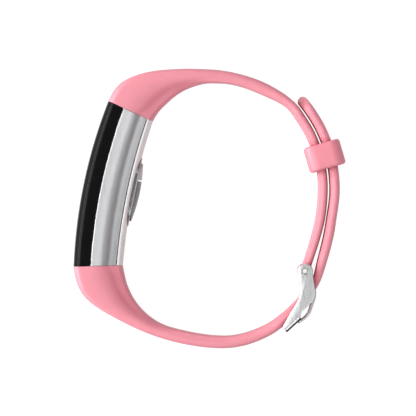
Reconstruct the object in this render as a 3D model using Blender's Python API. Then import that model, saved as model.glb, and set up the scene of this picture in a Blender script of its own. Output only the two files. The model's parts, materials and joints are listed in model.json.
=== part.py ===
"""Fitness tracker band, buckled into a loop and lying on its side.

Frame: +Z runs along the wrist, from one edge of the band to the other. The band
rests on the plane z = 0. The origin is at the centre of the bottom of the
bounding box. The tracker capsule is on the -X side and the buckle and keeper
are on the +X side. All pieces are drawn about the mid-plane of the band and
hung from one empty that lifts them to their place.

Lengths in the tables below are millimetres; the scene is in metres.
"""
import math

import bmesh
import bpy
import numpy as np
from mathutils import Matrix, Vector

# ---------------------------------------------------------------- dimensions
MM = 0.001
BAND_HALF_WIDTH = 9.75        # capsule, keeper and buckle are this far from the mid-plane
STRAP_HALF_WIDTH = 7.75       # straps at the buckle and keeper
LOOP_SHIFT = (-0.2885, -0.015)   # puts the bounding box centre on the origin

ARC_CENTRE = (-2.05, 4.95)    # centre of curvature of both layers at the keeper
INNER_LAYER = (31.95, 29.55)  # outer and inner radius of the short strap there
OUTER_LAYER = (34.80, 32.40)  # outer and inner radius of the long strap there
TAIL_END_ANGLE = 42.3         # degrees, where the long strap ends

SEAM = 0.12                   # hairline between shells of the capsule
GAP = 0.30                    # clearance between neighbours

PIN = (24.22, -15.65)         # axis of the buckle pin
PIN_RADIUS, PIN_BORE = 0.80, 0.60
STRAP_EYE_RADIUS, STRAP_EYE_BORE = 1.95, 1.10
TONGUE_EYE_RADIUS = 1.70
TONGUE_HALF_WIDTH = 0.95
ARM_INNER, ARM_OUTER = 8.15, 9.75

HOLE_PITCH, HOLE_LENGTH, HOLE_WIDTH = 5.6, 2.8, 2.4
HOLE_IN_USE_LENGTH = 5.2      # drawn long by the tongue that lies in it

KEEPER_CENTRE = (29.131, 13.12)
KEEPER_TILT = 16.5            # degrees from the Y axis
KEEPER_LENGTH, KEEPER_DEPTH = 6.5, 9.15

# capsule ends: (outer corner, inner corner), lower end then upper end
CAPSULE_LOWER = ((-33.65, -14.45), (-21.12, -14.08))
CAPSULE_UPPER = ((-25.00, 26.77), (-13.70, 21.55))
CAPSULE_OUTER_BULGE, CAPSULE_INNER_BULGE = 1.78, 1.08

# local axes of the capsule: x along its length, y away from the wrist
CAPSULE_ORIGIN = (-23.40, 4.95)
CAPSULE_ANGLE = 78.18

COVER_TO = 0.335              # depth fractions of the shells, from the outside
FRAME_FROM, FRAME_TO = 0.358, 0.852
REAR_FROM = 0.876

# (depth fraction, width fraction) of half the section
THICK = [(0.000, 0.00), (0.006, 0.60), (0.018, 0.86), (0.030, 0.892),
         (0.090, 0.982), (0.115, 0.998), (0.220, 1.00), (0.400, 1.00),
         (0.530, 0.975), (0.640, 0.920), (0.710, 0.868), (0.780, 0.842),
         (0.855, 0.822), (0.890, 0.770), (0.942, 0.55), (1.000, 0.00)]
THIN = [(0.000, 0.00), (0.000, 0.36), (0.004, 0.66), (0.020, 0.82),
        (0.070, 0.900), (0.160, 0.955), (0.300, 0.988), (0.500, 1.00),
        (0.700, 0.988), (0.840, 0.955), (0.930, 0.900), (0.980, 0.82),
        (0.995, 0.740), (1.000, 0.620), (1.000, 0.40), (1.000, 0.00)]

# short strap, from the capsule towards the keeper: outer edge, inner edge
UPPER_STATIONS = [
    ((-25.00, 26.77), (-13.70, 21.55)),
    ((-23.77, 29.10), (-12.45, 23.85)),
    ((-22.00, 31.20), (-10.85, 25.62)),
    ((-19.12, 32.85), (-8.85, 27.45)),
    ((-15.25, 34.05), (-6.35, 29.20)),
    ((-10.50, 34.67), (-3.50, 30.43)),
    ((-5.25, 34.88), (-0.50, 31.20)),
    ((-0.25, 34.75), (2.12, 31.27)),
    ((4.62, 34.27), (5.12, 31.07)),
    ((10.15, 32.92), (9.33, 30.02)),
    ((15.60, 30.68), (14.22, 28.05)),
]
UPPER_ARC = (44, 36, 28, 20, 12, 4, -4)      # degrees about ARC_CENTRE
# centre x, y, heading in degrees, thickness
UPPER_RUN_OUT = [(28.15, -1.75, -103, 2.40), (27.40, -5.30, -104, 2.35),
                 (26.45, -8.70, -107, 2.30), (25.45, -11.80, -109, 2.25),
                 (24.45, -14.90, -107, 2.20)]

# long strap, from the capsule to the buckle and up beside the pin
LOWER_STATIONS = [
    ((-33.65, -14.45), (-21.12, -14.08)),
    ((-33.02, -17.95), (-20.60, -17.40)),
    ((-31.55, -21.17), (-19.55, -20.47)),
    ((-29.10, -23.75), (-18.10, -23.10)),
    ((-25.95, -25.85), (-16.15, -25.47)),
    ((-22.00, -28.00), (-13.62, -27.60)),
    ((-17.38, -30.25), (-10.50, -29.25)),
    ((-12.00, -32.30), (-7.00, -30.25)),
    ((-6.25, -33.80), (-3.50, -31.03)),
    ((-0.50, -34.70), (0.50, -31.60)),
    ((5.25, -34.85), (5.00, -31.78)),
    ((10.62, -33.80), (9.62, -30.95)),
    ((15.12, -31.90), (13.65, -29.40)),
    ((17.95, -30.08), (16.33, -27.83)),
    ((21.50, -27.08), (19.62, -25.20)),
    ((24.40, -24.00), (22.38, -22.40)),
    ((26.22, -21.55), (24.15, -20.22)),
    ((27.40, -19.45), (25.40, -18.45)),
    ((28.35, -17.50), (26.40, -16.65)),
    ((29.50, -13.95), (27.25, -13.12)),
    ((30.80, -9.40), (28.35, -8.75)),
    ((31.70, -5.25), (29.17, -4.80)),
]
LOWER_ARC = (-12, -4, 4, 12, 20, 28, 35)

# side outline of a buckle arm, from the pin down its inner edge and back up
ARM_OUTLINE = [
    (22.40, -15.90), (22.60, -17.25), (22.97, -19.10), (23.10, -20.55),
    (22.90, -21.70), (22.53, -22.85), (20.38, -26.28), (18.53, -29.58),
    (19.60, -30.95), (23.33, -27.50), (23.03, -26.85), (23.10, -26.28),
    (23.53, -25.58), (24.67, -24.58), (25.83, -23.55), (26.55, -22.55),
    (26.85, -21.55), (26.78, -20.40), (26.55, -19.40), (26.12, -15.70)]
ARM_TOP_RADIUS = 1.88

# centre line of the tongue, from its eye through the strap to its tip
TONGUE_LINE = [(24.65, -17.10), (25.30, -18.10), (25.98, -19.10),
               (26.50, -20.30), (26.58, -21.62), (26.25, -23.10),
               (25.80, -24.38), (25.40, -25.60), (24.68, -26.80),
               (23.62, -27.75), (22.55, -28.62)]


# ------------------------------------------------------------------- helpers
def clear_scene():
    for item in list(bpy.data.objects):
        bpy.data.objects.remove(item, do_unlink=True)


def collection(name):
    made = bpy.data.collections.new(name)
    bpy.context.scene.collection.children.link(made)
    return made


def material(name, colour, roughness, metallic=0.0, alpha=1.0):
    made = bpy.data.materials.new(name)
    made.use_nodes = True
    shader = made.node_tree.nodes["Principled BSDF"]
    shader.inputs["Base Color"].default_value = (*colour, 1.0)
    shader.inputs["Roughness"].default_value = roughness
    shader.inputs["Metallic"].default_value = metallic
    shader.inputs["Alpha"].default_value = alpha
    made.diffuse_color = (*colour, alpha)
    return made


def empty(name, location, angle=0.0, parent=None):
    made = bpy.data.objects.new(name, None)
    made.empty_display_size = 0.01
    made.location = [v * MM for v in location]
    made.rotation_euler = (0, 0, math.radians(angle))
    made.parent = parent
    PARTS.objects.link(made)
    return made


def place(bm, name, mat, parent, where=None, smooth=30):
    """Turns a bmesh drawn in millimetres into a named object in metres."""
    bmesh.ops.scale(bm, vec=(MM, MM, MM), verts=bm.verts)
    bmesh.ops.recalc_face_normals(bm, faces=bm.faces)
    mesh = bpy.data.meshes.new(name)
    bm.to_mesh(mesh)
    bm.free()
    mesh.shade_smooth()
    mesh.set_sharp_from_angle(angle=math.radians(smooth))
    made = bpy.data.objects.new(name, mesh)
    (where or PARTS).objects.link(made)
    made.parent = parent
    if mat:
        mesh.materials.append(mat)
    if where is CUTTERS:
        made.hide_render = True
        made.display_type = "WIRE"
    return made


def boolean(target, cutter, operation="DIFFERENCE"):
    step = target.modifiers.new(operation.lower(), "BOOLEAN")
    step.object = cutter
    step.operation = operation
    step.solver = "EXACT"
    return step


def bm_box(centre, size):
    bm = bmesh.new()
    bmesh.ops.create_cube(bm, size=1.0)
    bmesh.ops.scale(bm, vec=size, verts=bm.verts)
    bmesh.ops.translate(bm, vec=centre, verts=bm.verts)
    return bm


def bm_rod(centre, radius, length, sides=20, axis="Z"):
    bm = bmesh.new()
    bmesh.ops.create_cone(bm, cap_ends=True, segments=sides, radius1=radius,
                          radius2=radius, depth=length)
    if axis == "Y":
        bmesh.ops.rotate(bm, matrix=Matrix.Rotation(math.pi / 2, 3, "X"), verts=bm.verts)
    if axis == "X":
        bmesh.ops.rotate(bm, matrix=Matrix.Rotation(math.pi / 2, 3, "Y"), verts=bm.verts)
    bmesh.ops.translate(bm, vec=centre, verts=bm.verts)
    return bm


def bm_prism(outline, low, high):
    """A flat outline in x, y raised from z = low to z = high."""
    bm = bmesh.new()
    ring = [bm.verts.new((x, y, low)) for x, y in outline]
    face = bm.faces.new(ring)
    raised = bmesh.ops.extrude_face_region(bm, geom=[face])
    bmesh.ops.translate(bm, vec=(0, 0, high - low), verts=[
        item for item in raised["geom"] if isinstance(item, bmesh.types.BMVert)])
    return bm


def bevelled(bm, width, segments=2, only_vertical=False):
    edges = [e for e in bm.edges if e.calc_face_angle(0) > 0.6]
    if only_vertical:
        edges = [e for e in edges
                 if abs((e.verts[0].co - e.verts[1].co).normalized().z) > 0.9]
    bmesh.ops.bevel(bm, geom=edges, offset=width, segments=segments,
                    profile=0.5, affect="EDGES")
    return bm


def racetrack(centre, length, width, count=8):
    """Outline with round ends: the long way along local x, the width along z."""
    r = width / 2
    half = length / 2 - r
    points = []
    for side in (1, -1):
        for k in range(count + 1):
            a = -math.pi / 2 + math.pi * k / count
            points.append((centre[0] + side * (half + r * math.cos(a)),
                           centre[1] + side * r * math.sin(a)))
    return points


def spline(points, steps):
    """Points at the given parameters of a natural cubic through the points."""
    p = np.array(points, float)
    n = len(p)
    t = np.arange(n, dtype=float)
    system = np.zeros((n, n))
    right = np.zeros_like(p)
    system[0, 0] = system[-1, -1] = 1.0
    for i in range(1, n - 1):
        system[i, i - 1:i + 2] = 1.0, 4.0, 1.0
        right[i] = 6.0 * (p[i + 1] - 2 * p[i] + p[i - 1])
    bend = np.linalg.solve(system, right)
    out = []
    for s in steps:
        i = min(int(s), n - 2)
        u = s - t[i]
        out.append((1 - u) * p[i] + u * p[i + 1]
                   + ((1 - u) ** 3 - (1 - u)) * bend[i] / 6
                   + (u ** 3 - u) * bend[i + 1] / 6)
    return np.array(out)


def polar(angle, radii):
    a = math.radians(angle)
    return tuple((ARC_CENTRE[0] + r * math.cos(a), ARC_CENTRE[1] + r * math.sin(a))
                 for r in radii)


def across(x, y, heading, thickness):
    """The two edge points of a strap whose run has this heading; outer is on its left."""
    a = math.radians(heading + 90)
    d = np.array((math.cos(a), math.sin(a))) * thickness / 2
    return (x + d[0], y + d[1]), (x - d[0], y - d[1])


def half_section(thickness):
    """Half of the section, from full capsule shape to the slim strap shape."""
    f = min(max((thickness - 3.0) / (11.5 - 3.0), 0.0), 1.0)
    f = f * f * (3 - 2 * f)
    return [(a[0] * f + b[0] * (1 - f), a[1] * f + b[1] * (1 - f))
            for a, b in zip(THICK, THIN)]


def ring_points(outer, inner, half_width, section):
    outer, inner = np.array(outer), np.array(inner)
    half = [(*(outer + (inner - outer) * u), half_width * w) for u, w in section]
    return half + [(x, y, -z) for x, y, z in reversed(half[1:-1])]


def bm_loft(rings):
    bm = bmesh.new()
    loops = [[bm.verts.new(p) for p in ring] for ring in rings]
    n = len(loops[0])
    for a, b in zip(loops, loops[1:]):
        for i in range(n):
            bm.faces.new((a[i], a[(i + 1) % n], b[(i + 1) % n], b[i]))
    bmesh.ops.triangulate(bm, faces=bm.faces)
    bm.faces.new(loops[0])
    bm.faces.new(list(reversed(loops[-1])))
    return bm


def slice_section(section, low, high):
    """The part of a half section between two depths, closed straight across."""
    def at(depth):
        for (u0, w0), (u1, w1) in zip(section, section[1:]):
            if u0 <= depth <= u1 and u1 > u0:
                return w0 + (w1 - w0) * (depth - u0) / (u1 - u0)
        return 0.0
    middle = [(u, w) for u, w in section if low < u < high]
    first = [(low, 0.0)] if low > 0 else []
    last = [(high, 0.0)] if high < 1 else []
    if low > 0:
        middle = [(low, at(low))] + middle
    elif middle[0][1] > 0:
        middle = [(0.0, 0.0)] + middle
    if high < 1:
        middle = middle + [(high, at(high))]
    elif middle[-1][1] > 0:
        middle = middle + [(1.0, 0.0)]
    return first + middle + last


def bulged(p, q, bulge, f):
    """Point at fraction f of the arc from p to q that bulges to its left."""
    p, q = np.array(p), np.array(q)
    chord = q - p
    length = np.hypot(*chord)
    left = np.array((-chord[1], chord[0])) / length
    return p + chord * f + left * bulge * (1 - (2 * f - 1) ** 2)


def capsule_station(f):
    return (bulged(CAPSULE_LOWER[0], CAPSULE_UPPER[0], CAPSULE_OUTER_BULGE, f),
            bulged(CAPSULE_LOWER[1], CAPSULE_UPPER[1], CAPSULE_INNER_BULGE, f))


def bm_capsule_slice(low, high, f0=0.0, f1=1.0, inset=0.0, count=11):
    """A slab of the capsule between two depths, with its sides moved in by inset."""
    rings = []
    section = slice_section(THICK, low, high)
    for k in range(count):
        f = f0 + (f1 - f0) * k / (count - 1)
        outer, inner = capsule_station(f)
        ring = ring_points(outer, inner, BAND_HALF_WIDTH, section)
        if inset:
            ring = [(x, y, z - math.copysign(min(inset, abs(z)), z)) for x, y, z in ring]
        rings.append(ring)
    return bm_loft(rings)


def bm_cavity(low, high, f0, f1, inset, count=9):
    """A plain straight-sided pocket through the capsule, for cutting it hollow."""
    rings = []
    for k in range(count):
        f = f0 + (f1 - f0) * k / (count - 1)
        outer, inner = capsule_station(f)
        a, b = outer + (inner - outer) * low, outer + (inner - outer) * high
        rings.append([(*a, inset[0]), (*b, inset[1]), (*b, -inset[1]), (*a, -inset[0])])
    return bm_loft(rings)


def strap_width(distance, start=BAND_HALF_WIDTH, end=STRAP_HALF_WIDTH, reach=34.0):
    f = min(distance / reach, 1.0)
    f = f * f * (3 - 2 * f)
    return start + (end - start) * f


def strap_rings(stations, steps, width_at):
    outer = spline([s[0] for s in stations], steps)
    inner = spline([s[1] for s in stations], steps)
    middle = (outer + inner) / 2
    run = np.concatenate([[0], np.cumsum(np.hypot(*np.diff(middle, axis=0).T))])
    rings = []
    for o, i, d in zip(outer, inner, run):
        thickness = float(np.hypot(*(o - i)))
        rings.append(ring_points(o, i, width_at(d), half_section(thickness)))
    return rings, middle, run


# --------------------------------------------------------------------- build
clear_scene()
PARTS = collection("fitness_tracker_band")
CUTTERS = collection("cutters")

pink = material("strap_elastomer", (0.88, 0.36, 0.42), 0.55)
pink_keeper = material("keeper_elastomer", (0.86, 0.34, 0.40), 0.55)
black_cover = material("cover_black", (0.010, 0.010, 0.011), 0.12)
silver = material("housing_silver", (0.62, 0.63, 0.65), 0.30, 0.9)
light_plastic = material("rear_cover_light", (0.78, 0.79, 0.79), 0.35)
bezel_dark = material("sensor_bezel_grey", (0.20, 0.20, 0.21), 0.18, 0.6)
window_dark = material("sensor_window_dark", (0.05, 0.06, 0.055), 0.10)
steel = material("buckle_steel", (0.66, 0.66, 0.67), 0.28, 1.0)
gasket_black = material("gasket_black", (0.02, 0.02, 0.02), 0.8)
board_green = material("board_green", (0.02, 0.14, 0.07), 0.5)
chip_black = material("chip_black", (0.03, 0.03, 0.03), 0.5)
tin = material("shield_tin", (0.60, 0.60, 0.60), 0.35, 1.0)
cell_foil = material("battery_foil", (0.55, 0.56, 0.58), 0.4, 0.8)
gold = material("contact_gold", (0.83, 0.62, 0.28), 0.25, 1.0)
display_glass = material("display_glass", (0.03, 0.03, 0.04), 0.1)
flex_amber = material("flex_amber", (0.45, 0.22, 0.04), 0.4)
led_green = material("led_green", (0.10, 0.55, 0.20), 0.3)
nylon = material("insert_nylon", (0.10, 0.10, 0.11), 0.6)
foam_grey = material("foam_grey", (0.16, 0.16, 0.16), 0.9)

BAND = empty("band_mid_plane", (*LOOP_SHIFT, BAND_HALF_WIDTH))
CAPSULE = empty("capsule_axes", (*CAPSULE_ORIGIN, 0), CAPSULE_ANGLE, BAND)
BUCKLE = empty("buckle_axis", (*PIN, 0), 0, BAND)
KEEPER = empty("keeper_arc_centre", (*ARC_CENTRE, 0), 0, BAND)


def at_pin(points):
    return [(x - PIN[0], y - PIN[1]) for x, y in points]


# --- capsule shells
front_cover = place(bm_capsule_slice(0.0, COVER_TO), "front_cover", black_cover, BAND)
boolean(front_cover, place(bm_cavity(0.105, COVER_TO + 0.06, 0.035, 0.965, (8.3, 8.5)),
                           "cover_hollow", None, BAND, CUTTERS))

cover_gasket = place(bm_capsule_slice(COVER_TO + 0.0085, FRAME_FROM - 0.0085, 0.006, 0.994,
                                      inset=0.25),
                     "cover_gasket", gasket_black, BAND)
boolean(cover_gasket, place(bm_cavity(COVER_TO - 0.02, FRAME_FROM + 0.02, 0.030, 0.970,
                                      (8.55, 8.55)), "gasket_hollow", None, BAND, CUTTERS))

housing_frame = place(bm_capsule_slice(FRAME_FROM, FRAME_TO), "housing_frame", silver, BAND)
boolean(housing_frame, place(bm_cavity(FRAME_FROM - 0.06, FRAME_TO + 0.06, 0.035, 0.965,
                                       (8.65, 6.75)), "frame_hollow", None, BAND, CUTTERS))

rear_cover_seal = place(bm_capsule_slice(FRAME_TO + 0.0085, REAR_FROM - 0.0085, 0.006, 0.994,
                                         inset=0.25),
                        "rear_cover_seal", gasket_black, BAND)
boolean(rear_cover_seal, place(bm_cavity(FRAME_TO - 0.02, REAR_FROM + 0.02, 0.034, 0.966,
                                         (6.85, 6.85)), "seal_hollow", None, BAND, CUTTERS))

rear_cover = place(bm_capsule_slice(REAR_FROM, 1.0), "rear_cover", light_plastic, BAND)
boolean(rear_cover, place(bm_cavity(REAR_FROM - 0.05, 0.915, 0.215, 0.785, (5.3, 5.3)),
                          "rear_hollow", None, BAND, CUTTERS))

# --- sensor pod: a racetrack seat through the rear cover
POD_LENGTH, POD_WIDTH, POD_MIDDLE = 19.2, 12.6, 0.2
POD_RIM, POD_BASE = -5.30, -3.95     # along the capsule's outward axis


def bm_stadium(length, width, low, high, middle=POD_MIDDLE, count=8):
    """A racetrack prism lying on the capsule's long axis, between two heights."""
    bm = bm_prism(racetrack((middle, 0), length, width, count), low, high)
    for v in bm.verts:                       # prism axis z becomes local y
        v.co = Vector((v.co.x, v.co.z, -v.co.y))
    return bm


boolean(rear_cover, place(bm_stadium(POD_LENGTH - 0.97, POD_WIDTH - 0.97, -9.1, 1.9, POD_MIDDLE + 0.003, 9),
                          "pod_seat", None, CAPSULE, CUTTERS))


def bm_dome(length, width, low, rim, crest, x0=None, x1=None):
    """A racetrack plug whose far face is crowned both ways, cut to x0..x1 if given."""
    bm = bmesh.new()
    rows, columns = 14, 8
    grid = []
    r = width / 2
    half = length / 2
    for i in range(rows + 1):
        x = (x0 + (x1 - x0) * i / rows)
        over = max(abs(x - POD_MIDDLE) - (half - r), 0.0)
        reach = math.sqrt(max(r * r - over * over, 0.0))
        line = []
        for j in range(columns + 1):
            w = -reach + 2 * reach * j / columns
            k = 1 - (w / r) ** 2
            m = 1 - ((x - POD_MIDDLE) / half) ** 2
            line.append((x, rim + (crest - rim) * max(k, 0) * (0.35 + 0.65 * max(m, 0)), w))
        grid.append(line)
    top = [[bm.verts.new(p) for p in line] for line in grid]
    base = [[bm.verts.new((p[0], low, p[2])) for p in line] for line in grid]
    for i in range(rows):
        for j in range(columns):
            bm.faces.new((top[i][j], top[i][j + 1], top[i + 1][j + 1], top[i + 1][j]))
            bm.faces.new((base[i][j], base[i + 1][j], base[i + 1][j + 1], base[i][j + 1]))
        bm.faces.new((top[i][0], top[i + 1][0], base[i + 1][0], base[i][0]))
        bm.faces.new((top[i][-1], base[i][-1], base[i + 1][-1], top[i + 1][-1]))
    for i in (0, rows):
        for j in range(columns):
            bm.faces.new((top[i][j], base[i][j], base[i][j + 1], top[i][j + 1]))
    return bm


sensor_bezel = place(bm_stadium(POD_LENGTH - 1.6, POD_WIDTH - 1.6, -3.2, POD_RIM),
                     "sensor_bezel", bezel_dark, CAPSULE)
boolean(sensor_bezel, place(bm_stadium(POD_LENGTH - 3.2, POD_WIDTH - 3.2, -9, 2),
                            "bezel_bore", None, CAPSULE, CUTTERS))

WINDOW_LENGTH, WINDOW_WIDTH = POD_LENGTH - 3.8, POD_WIDTH - 3.8
SPLIT = 3.2                   # where the light cap meets the dark window
x_low = POD_MIDDLE - WINDOW_LENGTH / 2 + 0.35
x_high = POD_MIDDLE + WINDOW_LENGTH / 2 - 0.35
sensor_window = place(bm_dome(WINDOW_LENGTH, WINDOW_WIDTH, -4.5, POD_RIM, -6.45,
                              x_low, SPLIT - 0.15), "sensor_window", window_dark, CAPSULE)
sensor_cap = place(bm_dome(WINDOW_LENGTH, WINDOW_WIDTH, -4.5, POD_RIM, -6.45,
                           SPLIT + 0.15, x_high), "sensor_cap", light_plastic, CAPSULE)

# --- parts behind the pod
def block(name, mat, x, y, z, bevel=0.0):
    """A block between the limits x, y, z along the capsule's axes."""
    bm = bm_box([(a + b) / 2 for a, b in (x, y, z)], [b - a for a, b in (x, y, z)])
    if bevel:
        bevelled(bm, bevel, 2)
    return place(bm, name, mat, CAPSULE)


block("sensor_board", board_green, (-8.6, 7.6), (-3.0, -2.5), (-4.4, 4.4))
block("green_led_1", led_green, (-5.6, -4.0), (-3.9, -3.25), (-0.8, 0.8))
block("green_led_2", led_green, (0.6, 2.2), (-3.9, -3.25), (-0.8, 0.8))
block("photodiode", chip_black, (-2.9, -0.6), (-3.9, -3.25), (-1.2, 1.2))

# --- electronics
block("battery_foam", foam_grey, (-12.5, 4.5), (-2.2, -1.85), (-5.2, 5.2))
block("battery", cell_foil, (-13.0, 5.5), (-1.55, 2.25), (-6.0, 6.0), 0.5)
block("main_board", board_green, (-15.5, 15.5), (2.70, 3.40), (-6.8, 6.8))
block("processor_chip", chip_black, (6.5, 10.5), (3.70, 4.45), (-2.2, 2.2))
block("radio_shield_can", tin, (-10.5, -4.0), (3.70, 4.70), (-3.6, 3.6), 0.2)
block("accelerometer_chip", chip_black, (0.5, 2.7), (3.70, 4.45), (-1.1, 1.1))
block("display_panel", display_glass, (-10.5, 10.5), (4.75, 5.65), (-6.9, 6.9))
block("touch_key_electrode", gold, (-16.6, -13.6), (4.95, 5.15), (-3.0, 3.0))
block("antenna_strip", gold, (-15.2, -12.2), (3.70, 3.90), (-5.5, 5.5))

flex = place(bm_prism([(10.8, 5.3), (13.6, 5.3), (13.6, 3.75), (11.4, 3.75), (11.4, 3.95),
                       (13.4, 3.95), (13.4, 5.1), (10.8, 5.1)], -3.0, 3.0),
             "display_flex", flex_amber, CAPSULE)

# --- vibration motor: axis along the wrist
MOTOR = (11.2, -0.10)
motor_case = place(bm_rod((*MOTOR, -3.2), 2.0, 6.0, 20), "motor_case", tin, CAPSULE)
boolean(motor_case, place(bm_rod((*MOTOR, 0), 0.50, 9.4, 12), "motor_bore", None, CAPSULE, CUTTERS))
ROTOR = empty("motor_axis", (*MOTOR, 0), 0, CAPSULE)
motor_shaft = place(bm_rod((0, 0, -0.4), 0.35, 7.6, 12), "motor_shaft", tin, ROTOR)
weight_outline = [(1.75 * math.cos(math.radians(a)), 1.75 * math.sin(math.radians(a)))
                  for a in range(-100, 101, 20)]
weight_outline += [(0.60 * math.cos(math.radians(a)), 0.60 * math.sin(math.radians(a)))
                   for a in range(100, -101, -40)]
motor_weight = place(bm_prism(weight_outline, 0.35, 3.1), "motor_weight", tin, ROTOR)

# --- charging contacts and rear cover screws
def rear_height(x, z):
    """Height of the rear surface above the capsule's length axis, at x along it and z across."""
    best = None
    for k in range(201):
        f = k / 200
        outer, inner = capsule_station(f)
        u = 1.0
        for (u0, w0), (u1, w1) in zip(THICK[12:], THICK[13:]):
            lo, hi = sorted((w0, w1))
            if lo <= abs(z) / BAND_HALF_WIDTH <= hi:
                u = u0 + (u1 - u0) * (abs(z) / BAND_HALF_WIDTH - w0) / (w1 - w0)
        p = outer + (inner - outer) * u - np.array(CAPSULE_ORIGIN)
        a = math.radians(CAPSULE_ANGLE)
        along = p[0] * math.cos(a) + p[1] * math.sin(a)
        out = -p[0] * math.sin(a) + p[1] * math.cos(a)
        if best is None or abs(along - x) < best[0]:
            best = (abs(along - x), out)
    return best[1]


def through_rear(name, mat, x, z, radius, proud, foot, length=None):
    """A round or oblong stud through the rear cover, in a hole that clears it."""
    top = rear_height(x, z) - proud
    if length:
        stud = bm_stadium(length, radius * 2, foot, top, x, 6)
        hole = bm_stadium(length + 0.24, radius * 2 + 0.24, -9, 2, x, 6)
        for bm in (stud, hole):
            bmesh.ops.translate(bm, vec=(0, 0, z), verts=bm.verts)
    else:
        stud = bm_rod((x, (foot + top) / 2, z), radius, abs(foot - top), 16, "Y")
        hole = bm_rod((x, -5, z), radius + 0.12, 12, 16, "Y")
    boolean(rear_cover, place(hole, name + "_hole", None, CAPSULE, CUTTERS))
    return place(stud, name, mat, CAPSULE)


SCREW_X, SCREW_Z = -16.2, 4.6
for number, side in ((1, 1), (2, -1)):
    through_rear("charging_contact_%d" % number, gold, -13.0, side * 3.9, 0.60, 0.08, -2.7, 2.4)
    # a boss on the end wall of the frame takes each screw
    boolean(housing_frame, place(
        bm_box((SCREW_X - 0.45, -2.45, side * SCREW_Z), (3.9, 1.5, 2.6)),
        "screw_boss_%d" % number, None, CAPSULE, CUTTERS), "UNION")
    through_rear("rear_cover_screw_%d" % number, tin, SCREW_X, side * SCREW_Z, 0.62, 0.02, -2.0)
    boolean(housing_frame, place(bm_rod((SCREW_X, -2.45, side * SCREW_Z), 0.74, 3.0, 16, "Y"),
                                 "boss_hole_%d" % number, None, CAPSULE, CUTTERS))

# --- strap inserts: a tab in the strap's pocket, through the end wall, screwed down inside
def insert(which, corner_pair, direction, x_wall):
    """direction is +1 towards the upper end of the capsule and -1 towards the lower."""
    outer, inner = np.array(corner_pair[0]), np.array(corner_pair[1])
    x0, x1 = sorted((x_wall - direction * 4.4, x_wall + direction * 5.2))
    tab = bm_box(((x0 + x1) / 2, -0.45, 0), (x1 - x0, 1.5, 9.0))
    bevelled(tab, 0.3, 1)
    made = place(tab, which + "_strap_insert", nylon, CAPSULE)
    slot = place(bm_box(((x0 + x1) / 2, -0.45, 0), (x1 - x0 + 0.6, 2.1, 9.6)),
                 which + "_insert_pocket", None, CAPSULE, CUTTERS)
    boolean(housing_frame, slot)
    hole_x = x_wall - direction * 2.9
    boolean(made, place(bm_rod((hole_x, -0.4, 0), 0.60, 4, 14, "Y"),
                        which + "_insert_hole", None, CAPSULE, CUTTERS))
    screw = place(bm_rod((hole_x, -0.35, 0), 0.45, 2.9, 14, "Y"),
                  which + "_insert_screw", tin, CAPSULE)
    head = place(bm_rod((hole_x, -1.80, 0), 0.90, 0.6, 16, "Y"),
                 which + "_insert_screw_head", None, CAPSULE, CUTTERS)
    boolean(screw, head, "UNION")
    return slot


upper_slot = insert("upper", CAPSULE_UPPER, 1, 19.3)
lower_slot = insert("lower", CAPSULE_LOWER, -1, -19.3)

# --- short strap
start_gap = 0.10
upper_stations = UPPER_STATIONS + [polar(a, INNER_LAYER) for a in UPPER_ARC]
upper_stations += [across(*row) for row in UPPER_RUN_OUT]
count = len(upper_stations)
steps = [start_gap / 2.5] + [0.45, 0.9, 1.4, 1.9, 2.45] + list(range(3, count))
upper_rings, _, _ = strap_rings(upper_stations, steps,
                                lambda d: strap_width(d, reach=46.0))
upper_strap = place(bm_loft(upper_rings), "upper_strap", pink, BAND)
boolean(upper_strap, place(bm_rod((*PIN, 0), STRAP_EYE_RADIUS, STRAP_HALF_WIDTH * 2 - 0.2, 28),
                           "upper_eye", None, BAND, CUTTERS), "UNION")
boolean(upper_strap, place(bm_rod((*PIN, 0), STRAP_EYE_BORE, 40, 20),
                           "upper_eye_bore", None, BAND, CUTTERS))
boolean(upper_strap, place(bm_box((24.9, -15.4, 0), (8.0, 5.4, TONGUE_HALF_WIDTH * 2 + 0.9)),
                           "tongue_slot", None, BAND, CUTTERS))
boolean(upper_strap, upper_slot)

# --- long strap
lower_stations = LOWER_STATIONS + [polar(a, OUTER_LAYER) for a in LOWER_ARC]
count = len(lower_stations)
steps = [start_gap / 3.5] + [0.4, 0.8, 1.25, 1.75, 2.3] + list(range(3, count))
lower_rings, lower_middle, lower_run = strap_rings(
    lower_stations, steps, lambda d: strap_width(d, reach=52.0))
# the free end: narrows to a round tip, and rolls over in thickness
reach_angle = LOWER_ARC[-1]
tip = []
for k in range(1, 8):
    angle = reach_angle + (TAIL_END_ANGLE - reach_angle) * math.sin(k / 7 * math.pi / 2)
    left = (TAIL_END_ANGLE - angle) * math.pi / 180 * 33.6        # mm to the very end
    width = STRAP_HALF_WIDTH * math.sqrt(max(1 - ((4.4 - left) / 4.4) ** 2, 0.0)) \
        if left < 4.4 else STRAP_HALF_WIDTH
    depth = math.sqrt(max(1 - ((1.3 - left) / 1.3) ** 2, 0.0)) if left < 1.3 else 1.0
    depth, width = max(depth, 0.30), max(width, 1.6)
    middle_r = (OUTER_LAYER[0] + OUTER_LAYER[1]) / 2
    half_t = (OUTER_LAYER[0] - OUTER_LAYER[1]) / 2 * depth
    outer, inner = polar(angle, (middle_r + half_t, middle_r - half_t))
    tip.append(ring_points(outer, inner, width, half_section(2.4)))
lower_strap = place(bm_loft(lower_rings + tip), "lower_strap", pink, BAND)
boolean(lower_strap, lower_slot)


def strap_frame(distance):
    """Centre and heading of the long strap at this distance along its middle."""
    x = np.interp(distance, lower_run, lower_middle[:, 0])
    y = np.interp(distance, lower_run, lower_middle[:, 1])
    ahead = [np.interp(distance + 0.6, lower_run, lower_middle[:, i]) for i in (0, 1)]
    back = [np.interp(distance - 0.6, lower_run, lower_middle[:, i]) for i in (0, 1)]
    return x, y, math.atan2(ahead[1] - back[1], ahead[0] - back[0])


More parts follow.
